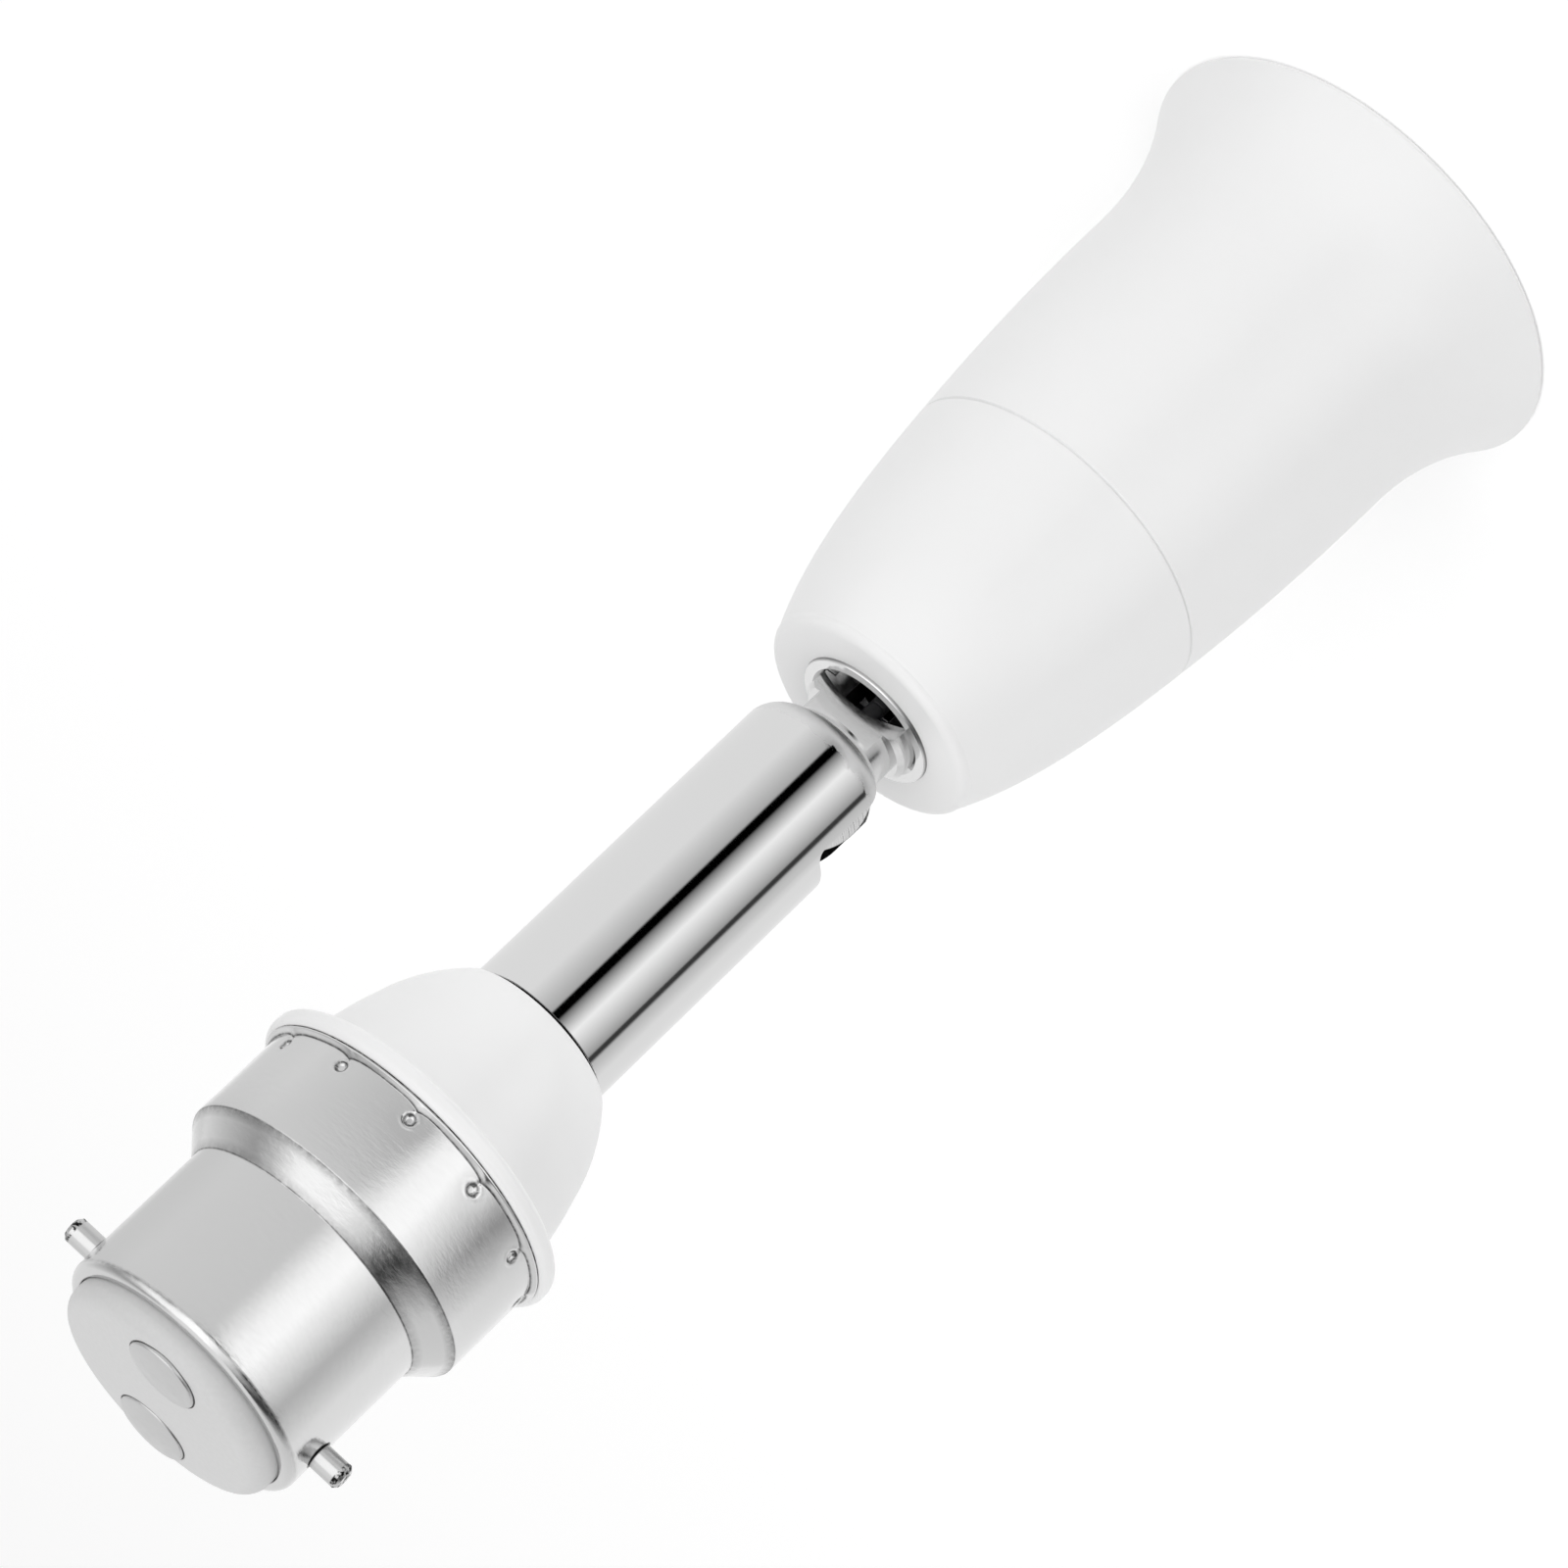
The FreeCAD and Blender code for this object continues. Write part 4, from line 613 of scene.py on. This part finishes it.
def screw_shell_wall():
    """Rows follow the sheet's closed profile up the inside, over the roof and down the outside;
    columns go round. In the thread the radius is 12.775 + 0.445 cos(2 pi z / 3.62 - angle) mm."""
    columns = 144
    pitch, thread_radius, thread_depth, sheet = 3.62, 12.775, 0.445, 0.3
    angle = np.linspace(0, 2 * np.pi, columns, endpoint=False)[None, :]
    up = np.linspace(15.15, 32.5, 100)[:, None]
    inside = thread_radius + thread_depth * np.cos(2 * np.pi * up / pitch - angle)
    roof_edge = inside[-1:]
    height_in = np.repeat(up, columns, axis=1)
    # the roof runs in from the thread's top to the hole in four rows, and back out above itself
    roof_share = np.array([0.25, 0.5, 0.75, 1.0])[:, None]
    under = roof_edge * (1 - roof_share) + 7.05 * roof_share
    hole = np.full((1, columns), 7.0)
    outside = (inside + sheet)[::-1]
    lip = np.repeat(np.array([15.04, 15.0, 15.04])[:, None], columns, axis=1)
    lip_out = inside[:1] + np.array([0.26, 0.15, 0.04])[:, None]
    radius = np.vstack([inside, roof_edge, under, hole, under[::-1], roof_edge + 0.15, outside,
                        lip_out])
    roof_heights = np.array([32.7] * 5 + [32.85] + [33.0] * 4 + [32.95])[:, None]
    height = np.vstack([height_in, np.repeat(roof_heights, columns, axis=1), height_in[::-1], lip])
    return np.stack([radius * np.cos(angle), radius * np.sin(angle), height], axis=-1)


shell_plate = lathe_metal("nickel_washed_brass", "CFC7AE", roughness=0.2, spread=0.15,
                          streak_mm=3.0, line_mm=0.3, depth_mm=0.003)
rolled_shell = closed_surface("rolled_screw_shell", screw_shell_wall(), shell_plate)
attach(rolled_shell, "holder")
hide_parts("screw_shell")


# ---- The rest of the socket: the steatite is a chalky cream, the contact tongue a reddish bronze
# spring, terminals, rivets and ball seat are yellow turned brass, and the fasteners and the
# friction spring a cool, slightly blue zinc.
steatite, tree, shader = new_material("pressed_steatite")
place = add_node(tree, "ShaderNodeTexCoord").outputs["Object"]
grit = add_node(tree, "ShaderNodeTexNoise", {"Scale": 3000.0, "Detail": 3.0}, {"Vector": place})
tint = add_node(tree, "ShaderNodeMix",
                {"data_type": "RGBA", 6: linear("DAD6CA"), 7: linear("E6E3D9")},
                {0: grit.outputs["Fac"]})
tree.links.new(tint.outputs[2], shader.inputs["Base Color"])
shader.inputs["Roughness"].default_value = 0.55
finish_with(["socket_insulator"], steatite)
bronze = lathe_metal("phosphor_bronze_strip", "C79A62", roughness=0.25, spread=0.15,
                     streak_mm=2.0, line_mm=0.3, depth_mm=0.002)
finish_with(["centre_contact"], bronze)
brass = lathe_metal("turned_brass", "CDAE6A", roughness=0.22, spread=0.15,
                    streak_mm=2.0, line_mm=0.2, depth_mm=0.002)
finish_with(["live_terminal", "neutral_terminal", "ball_seat", "shell_rivets", "tongue_rivet"],
            brass)
zinc = lathe_metal("bright_zinc_plate", "C2C5C8", roughness=0.25, spread=0.2,
                   streak_mm=1.5, line_mm=0.3, depth_mm=0.002)
finish_with(["terminal_screws", "insert_screws", "stem_washer", "stem_spring_washer", "stem_nut",
             "tube_washer", "tube_nut", "spring_stop_ring", "friction_spring"], zinc)


# ---- Two single wires with soft black and grey sleeves run from the contacts down the middle of
# tube and stem to the socket's terminals. Each is drawn as two lengths that meet inside the stem.

def sleeve_tube(name, route, material, radius=0.75, along=72, sides=20):
    """Tube round a smooth path: a quadratic B-spline through the middles of the route's runs,
    carried by side vectors square to the path and to one fixed direction, with both ends closed
    by a fan."""
    route = np.array(route, float)
    knots = np.vstack([2 * route[0] - route[1], route, 2 * route[-1] - route[-2]])
    spans = len(knots) - 2
    u = np.linspace(0.5, spans - 0.5, along)
    k = np.clip(np.floor(u).astype(int), 0, spans - 1)
    f = (u - k)[:, None]
    path = 0.5 * ((1 - f) ** 2 * knots[k] + (1 + 2 * f * (1 - f)) * knots[k + 1]
                  + f ** 2 * knots[k + 2])
    path[0] = route[0]
    path[-1] = route[-1]
    tangent = np.gradient(path, axis=0)
    tangent /= np.linalg.norm(tangent, axis=1)[:, None]
    side = np.cross(tangent, (0.3, 1.0, 0.15))
    side /= np.linalg.norm(side, axis=1)[:, None]
    other = np.cross(tangent, side)
    turn = np.linspace(0, 2 * np.pi, sides, endpoint=False)
    rings = path[:, None, :] + radius * (side[:, None, :] * np.cos(turn)[None, :, None]
                                         + other[:, None, :] * np.sin(turn)[None, :, None])
    points = np.vstack([rings.reshape(-1, 3), path[:1], path[-1:]]) / 1000
    index = np.arange(along * sides).reshape(along, sides)
    right = np.roll(index, -1, axis=1)
    quads = np.stack([index[:-1], right[:-1], right[1:], index[1:]], axis=-1).reshape(-1, 4)
    first = np.stack([right[0], index[0], np.full(sides, along * sides)], axis=-1)
    last = np.stack([index[-1], right[-1], np.full(sides, along * sides + 1)], axis=-1)
    mesh = bpy.data.meshes.new(name)
    mesh.from_pydata(points.tolist(), [], quads.tolist() + first.tolist() + last.tolist())
    mesh.polygons.foreach_set("use_smooth", np.ones(len(mesh.polygons), bool))
    mesh.materials.append(material)
    piece = bpy.data.objects.new(name, mesh)
    bpy.context.scene.collection.objects.link(piece)
    return piece


for wire_name, side, colour in (("live_wire", 1, "2C2C2E"), ("neutral_wire", -1, "6E6E70")):
    sleeve, tree, shader = new_material(wire_name + "_pvc_sleeve")
    place = add_node(tree, "ShaderNodeTexCoord").outputs["Object"]
    bloom = add_node(tree, "ShaderNodeTexNoise", {"Scale": 900.0, "Detail": 2.0}, {"Vector": place})
    bloom_share = add_node(tree, "ShaderNodeMapRange", {"To Max": 0.25},
                           {"Value": bloom.outputs["Fac"]})
    tint = add_node(tree, "ShaderNodeMix",
                    {"data_type": "RGBA", 6: linear(colour), 7: linear("7C7C7E")},
                    {0: bloom_share.outputs[0]})
    tree.links.new(tint.outputs[2], shader.inputs["Base Color"])
    shader.inputs["Roughness"].default_value = 0.42
    # the route in mm starts at the contact's tail, and the wires lie side by side in the bore
    top_x = side * contact_out * 1000 * math.cos(contact_angle)
    top_y = side * contact_out * 1000 * math.sin(contact_angle)
    off = side * 0.85
    meeting = 57.5
    upper = sleeve_tube(wire_name + "_upper_length", [
        (top_x, top_y, 130.15), (top_x, top_y, 125.65),
        (top_x * 0.3, (top_y + off) * 0.55, 119.65), (0, off, 112.65), (0, off, 95), (0, off, 80),
        (0, off, 73), (0, off, 66.8), (0, off, 61), (0, off, meeting)], sleeve, along=96)
    lower = sleeve_tube(wire_name + "_lower_length", [
        (0, off, meeting), (0, off, 56.1), (0, off, 53), (side * 0.3, off, 48.6),
        (side * 5.2, off * 0.4, 46.7), (side * 6.2, 0, 43.7), (side * 6.2, 0, 38.9)], sleeve)
    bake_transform(upper)
    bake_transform(lower)
    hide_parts(wire_name)
    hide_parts(wire_name)
